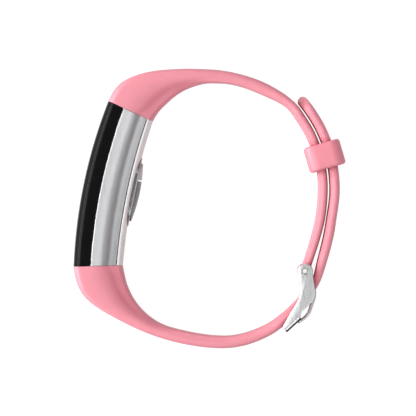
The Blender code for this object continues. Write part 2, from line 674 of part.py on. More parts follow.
def bm_hole(distance, length):
    """An oval hole through the long strap, square to its surface."""
    x, y, heading = strap_frame(distance)
    bm = bm_prism(racetrack((0, 0), length, HOLE_WIDTH, 5), -2.6, 2.6)
    for v in bm.verts:
        v.co = Vector((v.co.x, v.co.z, -v.co.y))
    bmesh.ops.rotate(bm, matrix=Matrix.Rotation(heading, 3, "Z"), verts=bm.verts)
    bmesh.ops.translate(bm, vec=(x, y, 0), verts=bm.verts)
    return bm


tongue_cross = (25.95, -19.75)
gaps = np.hypot(lower_middle[:, 0] - tongue_cross[0], lower_middle[:, 1] - tongue_cross[1])
hole_in_use = float(lower_run[int(np.argmin(gaps))])
nearest = min((np.hypot(strap_frame(d)[0] - tongue_cross[0], strap_frame(d)[1] - tongue_cross[1]), d)
              for d in np.arange(hole_in_use - 4, hole_in_use + 4, 0.05))
hole_in_use = float(nearest[1])
for k in range(-5, 6):
    length = HOLE_IN_USE_LENGTH if k == 0 else HOLE_LENGTH
    cutter = place(bm_hole(hole_in_use + k * HOLE_PITCH, length), "strap_hole_%d" % (k + 6),
                   None, BAND, CUTTERS)
    boolean(lower_strap, cutter)

# --- keeper: a loop with well rounded ends, drawn about the arc's centre
keeper_xy = (KEEPER_CENTRE[0] - ARC_CENTRE[0], KEEPER_CENTRE[1] - ARC_CENTRE[1])
turn = Matrix.Rotation(math.radians(KEEPER_TILT), 3, "Z")


def bm_keeper(size, bevel, segments):
    bm = bm_box((0, 0, 0), size)
    if bevel:
        bevelled(bm, bevel, segments)
    bmesh.ops.rotate(bm, matrix=turn, verts=bm.verts)
    bmesh.ops.translate(bm, vec=(*keeper_xy, 0), verts=bm.verts)
    return bm


def bm_keeper_body(corner=2.6, rim=0.75, per_corner=5):
    """The keeper's outside: a round-cornered tube with rolled rims."""
    half = KEEPER_LENGTH / 2
    rings = []
    for y, inset in ((-half, rim), (-half + 0.22, 0.22), (-half + rim, 0.0),
                     (half - rim, 0.0), (half - 0.22, 0.22), (half, rim)):
        ring = []
        for number, (sx, sz) in enumerate(((1, 1), (-1, 1), (-1, -1), (1, -1))):
            for k in range(per_corner + 1):
                a = math.radians(90 * number + 90 * k / per_corner)
                x = sx * (KEEPER_DEPTH / 2 - corner) + (corner - inset) * math.cos(a)
                z = sz * (BAND_HALF_WIDTH - corner) + (corner - inset) * math.sin(a)
                ring.append((x, y, z))
        rings.append(ring)
    bm = bm_loft(rings)
    bmesh.ops.rotate(bm, matrix=turn, verts=bm.verts)
    bmesh.ops.translate(bm, vec=(*keeper_xy, 0), verts=bm.verts)
    return bm


keeper_loop = place(bm_keeper_body(), "keeper_loop", pink_keeper, KEEPER)
boolean(keeper_loop, place(bm_keeper((6.95, KEEPER_LENGTH + 4, STRAP_HALF_WIDTH * 2 + 0.7), 0.0, 0),
                           "keeper_opening", None, KEEPER, CUTTERS))

# --- buckle
arm = at_pin(ARM_OUTLINE)
top = [(ARM_TOP_RADIUS * math.cos(math.radians(a)), ARM_TOP_RADIUS * math.sin(math.radians(a)) - 0.02)
       for a in range(0, 181, 20)]
arm_shape = arm[:-1] + [(1.88, -0.6)] + top + [(-1.86, -0.5)]
arm_shape = arm_shape[1:]
buckle_frame = place(bm_prism(arm_shape, ARM_INNER, ARM_OUTER), "buckle_frame", steel, BUCKLE)
arm_far = place(bm_prism(arm_shape, -ARM_OUTER, -ARM_INNER), "far_arm", None, BUCKLE, CUTTERS)
bar = at_pin([(18.85, -29.95), (19.60, -30.85), (23.20, -27.52), (22.52, -26.72)])
crossbar = place(bm_prism(bar, -ARM_INNER - 0.6, ARM_INNER + 0.6), "crossbar", None, BUCKLE, CUTTERS)
boolean(buckle_frame, crossbar, "UNION")
boolean(buckle_frame, arm_far, "UNION")
boolean(buckle_frame, place(bm_rod((0, 0, 0), PIN_RADIUS + 0.02, 30, 20), "arm_holes", None,
                            BUCKLE, CUTTERS))
rest = bm_box((0, 0, 0), (4.4, 1.0, TONGUE_HALF_WIDTH * 2 + 0.7))
bmesh.ops.rotate(rest, matrix=Matrix.Rotation(math.atan2(3.33, 3.60), 3, "Z"), verts=rest.verts)
bmesh.ops.translate(rest, vec=(22.05 - PIN[0], -28.90 - PIN[1], 0), verts=rest.verts)
boolean(buckle_frame, place(rest, "tongue_rest", None, BUCKLE, CUTTERS))

buckle_pin = place(bm_rod((0, 0, 0), PIN_RADIUS, ARM_OUTER * 2 - 0.3, 20), "buckle_pin", steel, BUCKLE)
boolean(buckle_pin, place(bm_rod((0, 0, 0), PIN_BORE, 30, 16), "pin_bore", None, BUCKLE, CUTTERS))

line = np.array(at_pin(TONGUE_LINE))
fine = spline(line, np.linspace(0, len(line) - 1, 17))
slope = np.gradient(fine, axis=0)
normal = np.stack([-slope[:, 1], slope[:, 0]], 1) / np.hypot(*slope.T)[:, None]
half_thickness = np.interp(np.linspace(0, 1, 17), [0, 0.15, 0.5, 0.85, 1.0],
                           [0.48, 0.42, 0.46, 0.42, 0.26])[:, None]
left, right = fine + normal * half_thickness, fine - normal * half_thickness
tongue_outline = [tuple(p) for p in left] + [tuple(p) for p in right[::-1]]
buckle_tongue = place(bm_prism(tongue_outline, -TONGUE_HALF_WIDTH, TONGUE_HALF_WIDTH),
                      "buckle_tongue", steel, BUCKLE)
boolean(buckle_tongue, place(bm_rod((0, 0, 0), TONGUE_EYE_RADIUS, TONGUE_HALF_WIDTH * 2, 24),
                             "tongue_eye", None, BUCKLE, CUTTERS), "UNION")
boolean(buckle_tongue, place(bm_rod((0, 0, 0), PIN_RADIUS + 0.10, 9, 20), "tongue_bore", None,
                             BUCKLE, CUTTERS))
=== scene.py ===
"""Looks of the fitness tracker band: fine meshes, materials, studio and camera.

Lengths in the tables are millimetres, drawn about the band's mid-plane in the
same drawing axes as the CAD part, and moved to the frame by the buckle pin's
joint. Everything handed to Blender is in metres.
"""
import json
import math

import bmesh
import bpy
import numpy as np
from mathutils import Matrix, Vector

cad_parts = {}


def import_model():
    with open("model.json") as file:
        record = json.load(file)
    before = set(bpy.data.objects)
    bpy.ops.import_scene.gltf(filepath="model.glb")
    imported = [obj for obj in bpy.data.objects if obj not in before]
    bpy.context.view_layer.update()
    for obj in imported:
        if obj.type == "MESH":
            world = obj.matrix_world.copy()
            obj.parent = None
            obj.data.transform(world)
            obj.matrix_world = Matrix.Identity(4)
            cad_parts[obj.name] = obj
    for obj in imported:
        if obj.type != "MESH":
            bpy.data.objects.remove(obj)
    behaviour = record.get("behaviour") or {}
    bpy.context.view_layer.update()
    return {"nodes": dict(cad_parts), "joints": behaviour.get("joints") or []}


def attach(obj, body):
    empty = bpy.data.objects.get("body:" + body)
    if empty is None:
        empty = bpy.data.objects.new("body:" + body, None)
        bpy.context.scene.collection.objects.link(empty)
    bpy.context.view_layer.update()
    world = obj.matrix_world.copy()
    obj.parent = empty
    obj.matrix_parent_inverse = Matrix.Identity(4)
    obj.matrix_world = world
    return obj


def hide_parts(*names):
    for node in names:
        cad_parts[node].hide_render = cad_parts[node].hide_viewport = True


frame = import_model()
NODES = frame["nodes"]
JOINTS = {j["name"]: j for j in frame["joints"]}

# ------------------------------------------------------------------ dimensions
MM = 0.001
HALF = 9.75                   # half width of capsule, keeper and buckle
STRAP_HALF = 7.75             # half width of the straps at the buckle
PIN = (24.22, -15.65)
_pin = JOINTS["buckle_swing"]["pos_m"]
SHIFT = np.array((_pin[0] / MM - PIN[0], _pin[1] / MM - PIN[1], _pin[2] / MM))

ARC_CENTRE = (-2.05, 4.95)
INNER_LAYER = (31.95, 29.55)
OUTER_LAYER = (34.93, 32.40)
TAIL_END_ANGLE = 42.3
PIN_RADIUS, PIN_BORE = 0.80, 0.60
EYE_RADIUS, EYE_BORE = 1.95, 1.10
TONGUE_EYE_RADIUS, TONGUE_HALF = 1.70, 0.95
ARM_INNER, ARM_OUTER = 8.15, 9.75
HOLE_PITCH, HOLE_LENGTH, HOLE_WIDTH, HOLE_IN_USE = 5.6, 2.8, 2.4, 5.2
KEEPER_CENTRE, KEEPER_TILT = (29.131, 13.12), 16.5
KEEPER_LENGTH, KEEPER_DEPTH = 6.5, 9.15

CAPSULE_LOWER = ((-33.65, -14.45), (-21.12, -14.08))
CAPSULE_UPPER = ((-25.00, 26.77), (-13.70, 21.55))
OUTER_BULGE, INNER_BULGE = 1.78, 1.08
CAPSULE_ORIGIN, CAPSULE_ANGLE = (-23.40, 4.95), 78.18
COVER_TO, FRAME_FROM, FRAME_TO, REAR_FROM = 0.335, 0.358, 0.860, 0.872
POD_LENGTH, POD_WIDTH, POD_MIDDLE = 19.2, 12.6, 0.2
POD_RIM, POD_CREST, SPLIT = -5.30, -6.45, 3.2

CAPSULE = [(0.000, 0.00), (0.002, 0.30), (0.006, 0.60), (0.014, 0.80), (0.022, 0.872),
           (0.030, 0.890), (0.086, 0.975), (0.094, 0.988), (0.115, 0.998), (0.220, 1.00),
           (0.400, 0.998), (0.530, 0.973), (0.630, 0.925), (0.690, 0.880),
           (0.722, 0.861), (0.790, 0.832), (0.858, 0.799), (0.928, 0.778),
           (0.955, 0.56), (1.000, 0.00)]
THICK = [(0.000, 0.00), (0.002, 0.30), (0.006, 0.60), (0.014, 0.80), (0.022, 0.872),
         (0.030, 0.890), (0.086, 0.975), (0.094, 0.988), (0.115, 0.998), (0.220, 1.00),
         (0.400, 0.998), (0.530, 0.982), (0.645, 0.944), (0.725, 0.892),
         (0.782, 0.840), (0.812, 0.817), (0.885, 0.778), (0.962, 0.738),
         (0.990, 0.58), (1.000, 0.00)]
THIN = [(0.000, 0.00), (0.000, 0.30), (0.001, 0.55), (0.004, 0.72), (0.012, 0.81),
        (0.030, 0.870), (0.070, 0.926), (0.110, 0.955), (0.180, 0.980), (0.300, 0.995),
        (0.440, 1.00), (0.540, 0.996), (0.660, 0.984), (0.760, 0.976),
        (0.870, 0.970), (0.930, 0.950), (0.972, 0.885), (0.995, 0.760),
        (1.000, 0.50), (1.000, 0.00)]

UPPER_STATIONS = [
    ((-25.00, 26.77), (-13.70, 21.55)),
    ((-23.77, 29.10), (-12.45, 23.85)),
    ((-22.00, 31.20), (-10.85, 25.62)),
    ((-19.12, 32.85), (-8.85, 27.45)),
    ((-15.25, 34.05), (-6.35, 29.20)),
    ((-10.50, 34.67), (-3.50, 30.43)),
    ((-5.25, 34.88), (-0.50, 31.20)),
    ((-0.25, 34.75), (2.12, 31.27)),
    ((4.62, 34.27), (5.12, 31.07)),
    ((10.15, 32.92), (9.33, 30.02)),
    ((15.60, 30.68), (14.22, 28.05)),
]
UPPER_ARC = (44, 36, 28, 20, 12, 4, -4)
UPPER_RUN_OUT = [(28.15, -1.75, -103, 2.40), (27.40, -5.30, -104, 2.35),
                 (26.45, -8.70, -107, 2.30), (25.45, -11.80, -109, 2.25),
                 (24.45, -14.90, -107, 2.20)]
LOWER_STATIONS = [
    ((-33.65, -14.45), (-21.12, -14.08)),
    ((-33.02, -17.95), (-20.60, -17.40)),
    ((-31.55, -21.17), (-19.55, -20.47)),
    ((-29.10, -23.75), (-18.10, -23.10)),
    ((-25.95, -25.85), (-16.15, -25.47)),
    ((-22.00, -28.00), (-13.62, -27.60)),
    ((-17.38, -30.25), (-10.50, -29.25)),
    ((-12.00, -32.30), (-7.00, -30.25)),
    ((-6.25, -33.80), (-3.50, -31.03)),
    ((-0.50, -34.70), (0.50, -31.60)),
    ((5.25, -34.85), (5.00, -31.78)),
    ((10.62, -33.80), (9.62, -30.95)),
    ((15.12, -31.90), (13.65, -29.40)),
    ((17.95, -30.08), (16.33, -27.83)),
    ((21.50, -27.08), (19.62, -25.20)),
    ((24.40, -24.00), (22.38, -22.40)),
    ((26.22, -21.55), (24.15, -20.22)),
    ((27.40, -19.45), (25.40, -18.45)),
    ((28.35, -17.50), (26.40, -16.65)),
    ((29.50, -13.95), (27.25, -13.12)),
    ((30.80, -9.40), (28.35, -8.75)),
    ((31.70, -5.25), (29.17, -4.80)),
]
LOWER_ARC = (-12, -4, 4, 12, 20, 28, 35)
ARM_OUTLINE = [
    (22.60, -17.25), (22.97, -19.10), (23.10, -20.55),
    (22.90, -21.70), (22.53, -22.85), (20.38, -26.28), (18.53, -29.58),
    (19.60, -30.95), (23.33, -27.50), (23.03, -26.85), (23.10, -26.28),
    (23.53, -25.58), (24.67, -24.58), (25.83, -23.55), (26.55, -22.55),
    (26.85, -21.55), (26.78, -20.40), (26.55, -19.40)]
ARM_TOP_RADIUS = 1.88
TONGUE_LINE = [(24.65, -17.10), (25.30, -18.10), (25.98, -19.10),
               (26.50, -20.30), (26.58, -21.62), (26.25, -23.10),
               (25.80, -24.38), (25.40, -25.60), (24.68, -26.80),
               (23.62, -27.75), (22.55, -28.62)]


# -------------------------------------------------------------------- materials
def shader(name):
    made = bpy.data.materials.new(name)
    made.use_nodes = True
    tree = made.node_tree
    return made, tree, tree.nodes["Principled BSDF"]


def add(tree, kind, inputs=None, **settings):
    node = tree.nodes.new(kind)
    for key, value in settings.items():
        setattr(node, key, value)
    for key, value in (inputs or {}).items():
        if isinstance(value, bpy.types.NodeSocket):
            tree.links.new(value, node.inputs[key])
        else:
            node.inputs[key].default_value = value
    return node


def noise(tree, scale, detail=3.0, rough=0.5, vector=None, distortion=0.0):
    where = vector or add(tree, "ShaderNodeTexCoord").outputs["Object"]
    return add(tree, "ShaderNodeTexNoise", {
        "Vector": where, "Scale": scale, "Detail": detail,
        "Roughness": rough, "Distortion": distortion}).outputs["Fac"]


def mix(tree, factor, a, b, blend="MIX"):
    node = add(tree, "ShaderNodeMix", data_type="RGBA", blend_type=blend)
    for socket, value in ((0, factor), (6, a), (7, b)):
        if isinstance(value, bpy.types.NodeSocket):
            tree.links.new(value, node.inputs[socket])
        elif socket == 0:
            node.inputs[0].default_value = value
        else:
            node.inputs[socket].default_value = (*value, 1.0)
    return node.outputs[2]


def ranged(tree, value, low, high, from_low=0.3, from_high=0.7):
    return add(tree, "ShaderNodeMapRange", {
        "Value": value, "From Min": from_low, "From Max": from_high,
        "To Min": low, "To Max": high}).outputs["Result"]


def bumped(tree, bsdf, height, strength, distance, after=None):
    node = add(tree, "ShaderNodeBump", {"Height": height, "Strength": strength,
                                        "Distance": distance})
    if after is not None:
        tree.links.new(after, node.inputs["Normal"])
    tree.links.new(node.outputs["Normal"], bsdf.inputs["Normal"])
    return node.outputs["Normal"]


def put(bsdf, **values):
    for key, value in values.items():
        bsdf.inputs[key.replace("_", " ")].default_value = value


def elastomer(name, colour, lighter):
    """Moulded silicone rubber: satin, with a fine blasted grain, faint flow clouds and painted shade in its
    gaps and folds.
    """
    made, tree, bsdf = shader(name)
    clouds = noise(tree, 160, 3, 0.55)
    speck = noise(tree, 5200, 2, 0.6)
    base = mix(tree, ranged(tree, clouds, 0.0, 1.0), colour, lighter)
    base = mix(tree, ranged(tree, speck, 0.0, 0.10, 0.55, 0.75), base, (1.0, 0.82, 0.84))
    # painted shade: narrow gaps, folds and recesses, found by ambient occlusion, are darkened to a deeper
    # red
    painted_shade_ao = add(tree, "ShaderNodeAmbientOcclusion", {"Distance": 0.0030}, samples=12)
    base = mix(tree, ranged(tree, painted_shade_ao.outputs["AO"], 0.85, 0.0, 0.42, 0.95), base,
               (0.56, 0.075, 0.115))
    tree.links.new(base, bsdf.inputs["Base Color"])
    tree.links.new(ranged(tree, noise(tree, 420, 4, 0.6), 0.40, 0.52), bsdf.inputs["Roughness"])
    first = bumped(tree, bsdf, speck, 0.10, 0.00003)
    bumped(tree, bsdf, noise(tree, 1500, 3, 0.6), 0.06, 0.00005, first)
    put(bsdf, Specular_IOR_Level=0.9, IOR=1.45)
    bsdf.inputs["Subsurface Weight"].default_value = 0.12
    bsdf.inputs["Subsurface Radius"].default_value = (1.0, 0.35, 0.30)
    bsdf.inputs["Subsurface Scale"].default_value = 0.0006
    return made


def plastic(name, colour, rough, grain=2600, spread=0.05, bump=0.05, specular=0.5, coat=0.0):
    made, tree, bsdf = shader(name)
    field = noise(tree, 240, 3, 0.5)
    lighter = tuple(min(c * (1 + spread) + 0.002, 1) for c in colour)
    tree.links.new(mix(tree, ranged(tree, field, 0, 1), colour, lighter), bsdf.inputs["Base Color"])
    tree.links.new(ranged(tree, noise(tree, 700, 3, 0.6), rough * 0.85, rough * 1.15),
                   bsdf.inputs["Roughness"])
    bumped(tree, bsdf, noise(tree, grain, 2, 0.6), bump, 0.00003)
    put(bsdf, Specular_IOR_Level=specular)
    bsdf.inputs["Coat Weight"].default_value = coat
    bsdf.inputs["Coat Roughness"].default_value = 0.05
    return made


def metal(name, colour, rough, along=(1, 1, 1), grain=3000, bump=0.05, spread=0.06, metallic=1.0):
    """Satin metal whose fine brushing is stretched along one axis."""
    made, tree, bsdf = shader(name)
    where = add(tree, "ShaderNodeTexCoord").outputs["Object"]
    where = add(tree, "ShaderNodeMapping", {"Vector": where, "Scale": along}).outputs["Vector"]
    lines = noise(tree, grain, 3, 0.6, where)
    field = noise(tree, 300, 3, 0.5)
    darker = tuple(c * (1 - spread) for c in colour)
    tint = mix(tree, ranged(tree, field, 0, 1), darker, colour)
    tint = mix(tree, ranged(tree, lines, 0, 0.12, 0.35, 0.65), tint, tuple(c * 0.8 for c in colour))
    tree.links.new(tint, bsdf.inputs["Base Color"])
    tree.links.new(ranged(tree, lines, rough * 0.8, rough * 1.25), bsdf.inputs["Roughness"])
    bumped(tree, bsdf, lines, bump, 0.00002)
    put(bsdf, Metallic=metallic)
    return made


ALONG = (math.cos(math.radians(CAPSULE_ANGLE)), math.sin(math.radians(CAPSULE_ANGLE)))
pink = elastomer("strap_elastomer", (0.745, 0.230, 0.290), (0.770, 0.250, 0.312))
pink_keeper = elastomer("keeper_elastomer", (0.745, 0.215, 0.275), (0.770, 0.235, 0.297))
silver = metal("housing_silver", (0.655, 0.66, 0.675), 0.36, (1, 0.06, 1), 4200, 0.03, 0.03)
steel = metal("buckle_steel", (0.66, 0.665, 0.67), 0.30, (1, 0.08, 1), 5200, 0.04, 0.04)
# near-black steel: a painted dark reflection on the buckle crossbar's face
painted_reflection_steel = metal("buckle_steel_painted_reflection", (0.055, 0.055, 0.058), 0.14, (0.1, 1, 1), 2600, 0.02)
white = plastic("rear_cover_light", (0.88, 0.90, 0.90), 0.34, 3000, 0.02, 0.04)
cap_white = plastic("sensor_cap_light", (0.50, 0.51, 0.51), 0.22, 3000, 0.03, 0.02)
bezel_grey = metal("sensor_bezel_grey", (0.30, 0.305, 0.31), 0.20, (1, 1, 1), 2600, 0.02)
gasket = plastic("gasket_black", (0.020, 0.020, 0.021), 0.7, 1800, 0.2, 0.1, 0.3)
board = plastic("board_green", (0.015, 0.110, 0.050), 0.4, 1200, 0.5, 0.1)
chip = plastic("chip_black", (0.025, 0.025, 0.027), 0.45, 2600, 0.2, 0.1)
tin = metal("plated_tin", (0.62, 0.62, 0.61), 0.32, (1, 1, 1), 2400, 0.06)
foil = metal("battery_foil", (0.56, 0.57, 0.59), 0.38, (1, 1, 1), 900, 0.20)
gold = metal("contact_gold", (0.86, 0.62, 0.26), 0.24, (1, 1, 1), 3600, 0.04)
glass_dark = plastic("display_glass", (0.012, 0.012, 0.016), 0.08, 2000, 0.2, 0.01)
amber = plastic("flex_amber", (0.45, 0.20, 0.03), 0.35, 2000, 0.15, 0.05)
green = plastic("led_green", (0.08, 0.50, 0.16), 0.20, 2000, 0.3, 0.05)
nylon = plastic("insert_nylon", (0.050, 0.050, 0.055), 0.5, 1400, 0.3, 0.2)
foam = plastic("foam_grey", (0.12, 0.12, 0.12), 0.9, 1600, 0.5, 0.6, 0.2)


def black_cover_material():
    """Piano-black cover with a faint ring printed over the touch key."""
    made, tree, bsdf = shader("cover_black")
    where = add(tree, "ShaderNodeTexCoord").outputs["Object"]
    centre = world([along_capsule(-15.1, 6.0, 0.0)])[0]
    away = add(tree, "ShaderNodeVectorMath", {0: where, 1: tuple(centre)}, operation="SUBTRACT")
    length = add(tree, "ShaderNodeVectorMath", {0: away.outputs["Vector"]}, operation="LENGTH")
    ring = add(tree, "ShaderNodeMath", {0: length.outputs["Value"], 1: 0.00255},
               operation="SUBTRACT").outputs[0]
    ring = add(tree, "ShaderNodeMath", {0: ring}, operation="ABSOLUTE").outputs[0]
    ring = add(tree, "ShaderNodeMath", {0: ring, 1: 0.00014}, operation="LESS_THAN").outputs[0]
    shade = mix(tree, ranged(tree, noise(tree, 300, 3, 0.5), 0, 1),
                (0.0020, 0.0020, 0.0022), (0.0030, 0.0030, 0.0032))
    tree.links.new(mix(tree, ring, shade, (0.20, 0.205, 0.21)), bsdf.inputs["Base Color"])
    tree.links.new(ranged(tree, noise(tree, 900, 3, 0.6), 0.10, 0.15), bsdf.inputs["Roughness"])
    bumped(tree, bsdf, noise(tree, 1800, 2, 0.5), 0.015, 0.00002)
    put(bsdf, Specular_IOR_Level=0.19)
    return made


def window_material():
    """Dark tinted sensor window with a fine diamond lens pattern and the lamps below it."""
    made, tree, bsdf = shader("sensor_window_dark")
    where = add(tree, "ShaderNodeTexCoord").outputs["Object"]
    turned = add(tree, "ShaderNodeMapping", {
        "Vector": where, "Rotation": (0, 0, -math.radians(CAPSULE_ANGLE)),
        "Scale": (1, 1, 1)}).outputs["Vector"]
    parts = add(tree, "ShaderNodeSeparateXYZ", {0: turned})
    waves = []
    for sign in (1, -1):
        z = add(tree, "ShaderNodeMath", {0: parts.outputs["Z"], 1: sign * 1.0},
                operation="MULTIPLY").outputs[0]
        sum_ = add(tree, "ShaderNodeMath", {0: parts.outputs["X"], 1: z}, operation="ADD").outputs[0]
        phase = add(tree, "ShaderNodeMath", {0: sum_, 1: 2 * math.pi / 0.0011},
                    operation="MULTIPLY").outputs[0]
        wave = add(tree, "ShaderNodeMath", {0: phase}, operation="SINE").outputs[0]
        waves.append(add(tree, "ShaderNodeMath", {0: wave}, operation="ABSOLUTE").outputs[0])
    lattice = add(tree, "ShaderNodeMath", {0: waves[0], 1: waves[1]}, operation="MINIMUM").outputs[0]
    line = ranged(tree, lattice, 1.0, 0.0, 0.12, 0.42)
    shade = mix(tree, ranged(tree, noise(tree, 900, 3, 0.5), 0, 1),
                (0.030, 0.036, 0.032), (0.055, 0.062, 0.056))
    shade = mix(tree, line, shade, (0.30, 0.33, 0.30))
    for spot in (-4.8, 1.4):
        centre = world([along_capsule(spot, -6.2, 0.0)])[0]
        away = add(tree, "ShaderNodeVectorMath", {0: where, 1: tuple(centre)}, operation="SUBTRACT")
        length = add(tree, "ShaderNodeVectorMath", {0: away.outputs["Vector"]}, operation="LENGTH")
        near = ranged(tree, length.outputs["Value"], 0.65, 0.0, 0.0009, 0.0013)
        shade = mix(tree, near, shade, (0.06, 0.42, 0.14))
    tree.links.new(shade, bsdf.inputs["Base Color"])
    tree.links.new(ranged(tree, lattice, 0.10, 0.20, 0, 1), bsdf.inputs["Roughness"])
    bumped(tree, bsdf, lattice, 0.25, 0.00006)
    put(bsdf, Specular_IOR_Level=0.4)
    return made


# ---------------------------------------------------------------- mesh helpers
def world(points):
    return (np.asarray(points, float).reshape(-1, 3) + SHIFT) * MM


def along_capsule(x, y, z):
    a = math.radians(CAPSULE_ANGLE)
    return (CAPSULE_ORIGIN[0] + x * math.cos(a) - y * math.sin(a),
            CAPSULE_ORIGIN[1] + x * math.sin(a) + y * math.cos(a), z)


def capsule_points(points):
    return [along_capsule(*p) for p in points]


def finish_mesh(mesh, angle=32):
    mesh.shade_smooth()
    mesh.set_sharp_from_angle(angle=math.radians(angle))


def piece(name, points, faces, materials, picks=None, angle=32):
    """An object from points in drawing millimetres."""
    mesh = bpy.data.meshes.new(name)
    mesh.from_pydata([tuple(p) for p in world(points)], [], faces)
    bm = bmesh.new()
    bm.from_mesh(mesh)
    bmesh.ops.recalc_face_normals(bm, faces=bm.faces)
    bm.to_mesh(mesh)
    bm.free()
    for m in materials:
        mesh.materials.append(m)
    if picks is not None:
        mesh.polygons.foreach_set("material_index", picks)
    finish_mesh(mesh, angle)
    made = bpy.data.objects.new(name, mesh)
    bpy.context.scene.collection.objects.link(made)
    return made


def loft(rings, closed=False, caps=True):
    """Points and faces of a skin over closed rings."""
    rings = [np.asarray(r, float) for r in rings]
    n = len(rings[0])
    points = np.concatenate(rings)
    faces = []
    pairs = list(zip(range(len(rings) - 1), range(1, len(rings))))
    if closed:
        pairs.append((len(rings) - 1, 0))
    for a, b in pairs:
        for i in range(n):
            j = (i + 1) % n
            faces.append((a * n + i, a * n + j, b * n + j, b * n + i))
    if caps and not closed:
        faces.append(tuple(range(n - 1, -1, -1)))
        faces.append(tuple(range((len(rings) - 1) * n, len(rings) * n)))
    return points, faces


def carve(target, cutters, operation="DIFFERENCE", angle=32):
    """Applies Booleans and takes the cutters away."""
    for cutter in cutters:
        step = target.modifiers.new("cut", "BOOLEAN")
        step.object = cutter
        step.operation = operation
        step.solver = "EXACT"
    bpy.context.view_layer.update()
    graph = bpy.context.evaluated_depsgraph_get()
    made = bpy.data.meshes.new_from_object(target.evaluated_get(graph), depsgraph=graph)
    target.modifiers.clear()
    old = target.data
    target.data = made
    made.name = target.name
    bpy.data.meshes.remove(old)
    for cutter in cutters:
        mesh = cutter.data
        bpy.data.objects.remove(cutter, do_unlink=True)
        bpy.data.meshes.remove(mesh)
    finish_mesh(target.data, angle)
    return target


def corner_cut(points, rounds=2, closed=True):
    p = np.asarray(points, float)
    for _ in range(rounds):
        if closed:
            q = np.roll(p, -1, axis=0)
            p = np.stack([0.75 * p + 0.25 * q, 0.25 * p + 0.75 * q], 1).reshape(-1, p.shape[1])
        else:
            a, b = p[:-1], p[1:]
            inner = np.stack([0.75 * a + 0.25 * b, 0.25 * a + 0.75 * b], 1).reshape(-1, p.shape[1])
            p = np.concatenate([p[:1], inner, p[-1:]])
    return p


def spline(points, steps):
    p = np.array(points, float)
    n = len(p)
    system = np.zeros((n, n))
    right = np.zeros_like(p)
    system[0, 0] = system[-1, -1] = 1.0
    for i in range(1, n - 1):
        system[i, i - 1:i + 2] = 1.0, 4.0, 1.0
        right[i] = 6.0 * (p[i + 1] - 2 * p[i] + p[i - 1])
    bend = np.linalg.solve(system, right)
    out = []
    for s in steps:
        i = min(int(s), n - 2)
        u = s - i
        out.append((1 - u) * p[i] + u * p[i + 1] + ((1 - u) ** 3 - (1 - u)) * bend[i] / 6
                   + (u ** 3 - u) * bend[i + 1] / 6)
    return np.array(out)


def polar(angle, radii):
    a = math.radians(angle)
    return tuple((ARC_CENTRE[0] + r * math.cos(a), ARC_CENTRE[1] + r * math.sin(a)) for r in radii)


def across(x, y, heading, thickness):
    a = math.radians(heading + 90)
    d = np.array((math.cos(a), math.sin(a))) * thickness / 2
    return (x + d[0], y + d[1]), (x - d[0], y - d[1])


def full_section(thickness, rounds=2, near=0.0):
    """The whole outline (depth, width) of the section for this thickness.

    near is 1 at the capsule, whose own section the strap takes up there.
    """
    f = min(max((thickness - 3.0) / (11.5 - 3.0), 0.0), 1.0)
    f = f * f * (3 - 2 * f)
    thick = np.array(CAPSULE) * near + np.array(THICK) * (1 - near)
    half = [tuple(p) for p in thick * f + np.array(THIN) * (1 - f)]
    return corner_cut(half + [(u, -w) for u, w in reversed(half[1:-1])], rounds)


def section_ring(outer, inner, half_width, outline):
    outer, inner = np.array(outer), np.array(inner)
    return [(*(outer + (inner - outer) * u), half_width * w) for u, w in outline]


def bulged(p, q, bulge, f):
    p, q = np.array(p), np.array(q)
    chord = q - p
    left = np.array((-chord[1], chord[0])) / np.hypot(*chord)
    return p + chord * f + left * bulge * (1 - (2 * f - 1) ** 2)


def capsule_station(f):
    return (bulged(CAPSULE_LOWER[0], CAPSULE_UPPER[0], OUTER_BULGE, f),
            bulged(CAPSULE_LOWER[1], CAPSULE_UPPER[1], INNER_BULGE, f))


def eased(f):
    return f * f * (3 - 2 * f)


def width_at(distance, reach):
    return HALF + (STRAP_HALF - HALF) * eased(min(distance / reach, 1.0))


def strap_rings(stations, steps, reach):
    outer = spline([s[0] for s in stations], steps)
    inner = spline([s[1] for s in stations], steps)
    middle = (outer + inner) / 2
    run = np.concatenate([[0], np.cumsum(np.hypot(*np.diff(middle, axis=0).T))])
    depth = np.hypot(*(outer - inner).T)
    rings = [section_ring(o, i, width_at(d, reach),
                          full_section(float(t), 2, 1 - eased(min(float(d) / 3.2, 1.0))))
             for o, i, d, t in zip(outer, inner, run, depth)]
    return rings, middle, run, depth


def rod(name, centre, radius, half_length, sides=64, axis="Z", local=False, materials=(), soften=0.0):
    """A turned rod along z, or along the capsule's outward axis, with softened rims."""
    rings = []
    lengths = [(-half_length, soften), (-half_length + soften * 0.3, soften * 0.3),
               (-half_length + soften, 0.0), (half_length - soften, 0.0),
               (half_length - soften * 0.3, soften * 0.3), (half_length, soften)] \
        if soften else [(-half_length, 0.0), (half_length, 0.0)]
    for h, inset in lengths:
        ring = []
        for k in range(sides):
            a = 2 * math.pi * k / sides
            c, s = (radius - inset) * math.cos(a), (radius - inset) * math.sin(a)
            ring.append((centre[0] + c, centre[1] + s, centre[2] + h) if axis == "Z"
                        else (centre[0] + c, centre[1] + h, centre[2] + s))
        rings.append(capsule_points(ring) if local else ring)
    points, faces = loft(rings)
    return piece(name, points, faces, materials)


def outline_normals(outline):
    p = np.asarray(outline, float)
    t = np.roll(p, -1, 0) - np.roll(p, 1, 0)
    t /= np.hypot(*t.T)[:, None]
    area = 0.5 * np.sum(p[:, 0] * np.roll(p[:, 1], -1) - np.roll(p[:, 0], -1) * p[:, 1])
    n = np.stack([t[:, 1], -t[:, 0]], 1)
    return n if area > 0 else -n


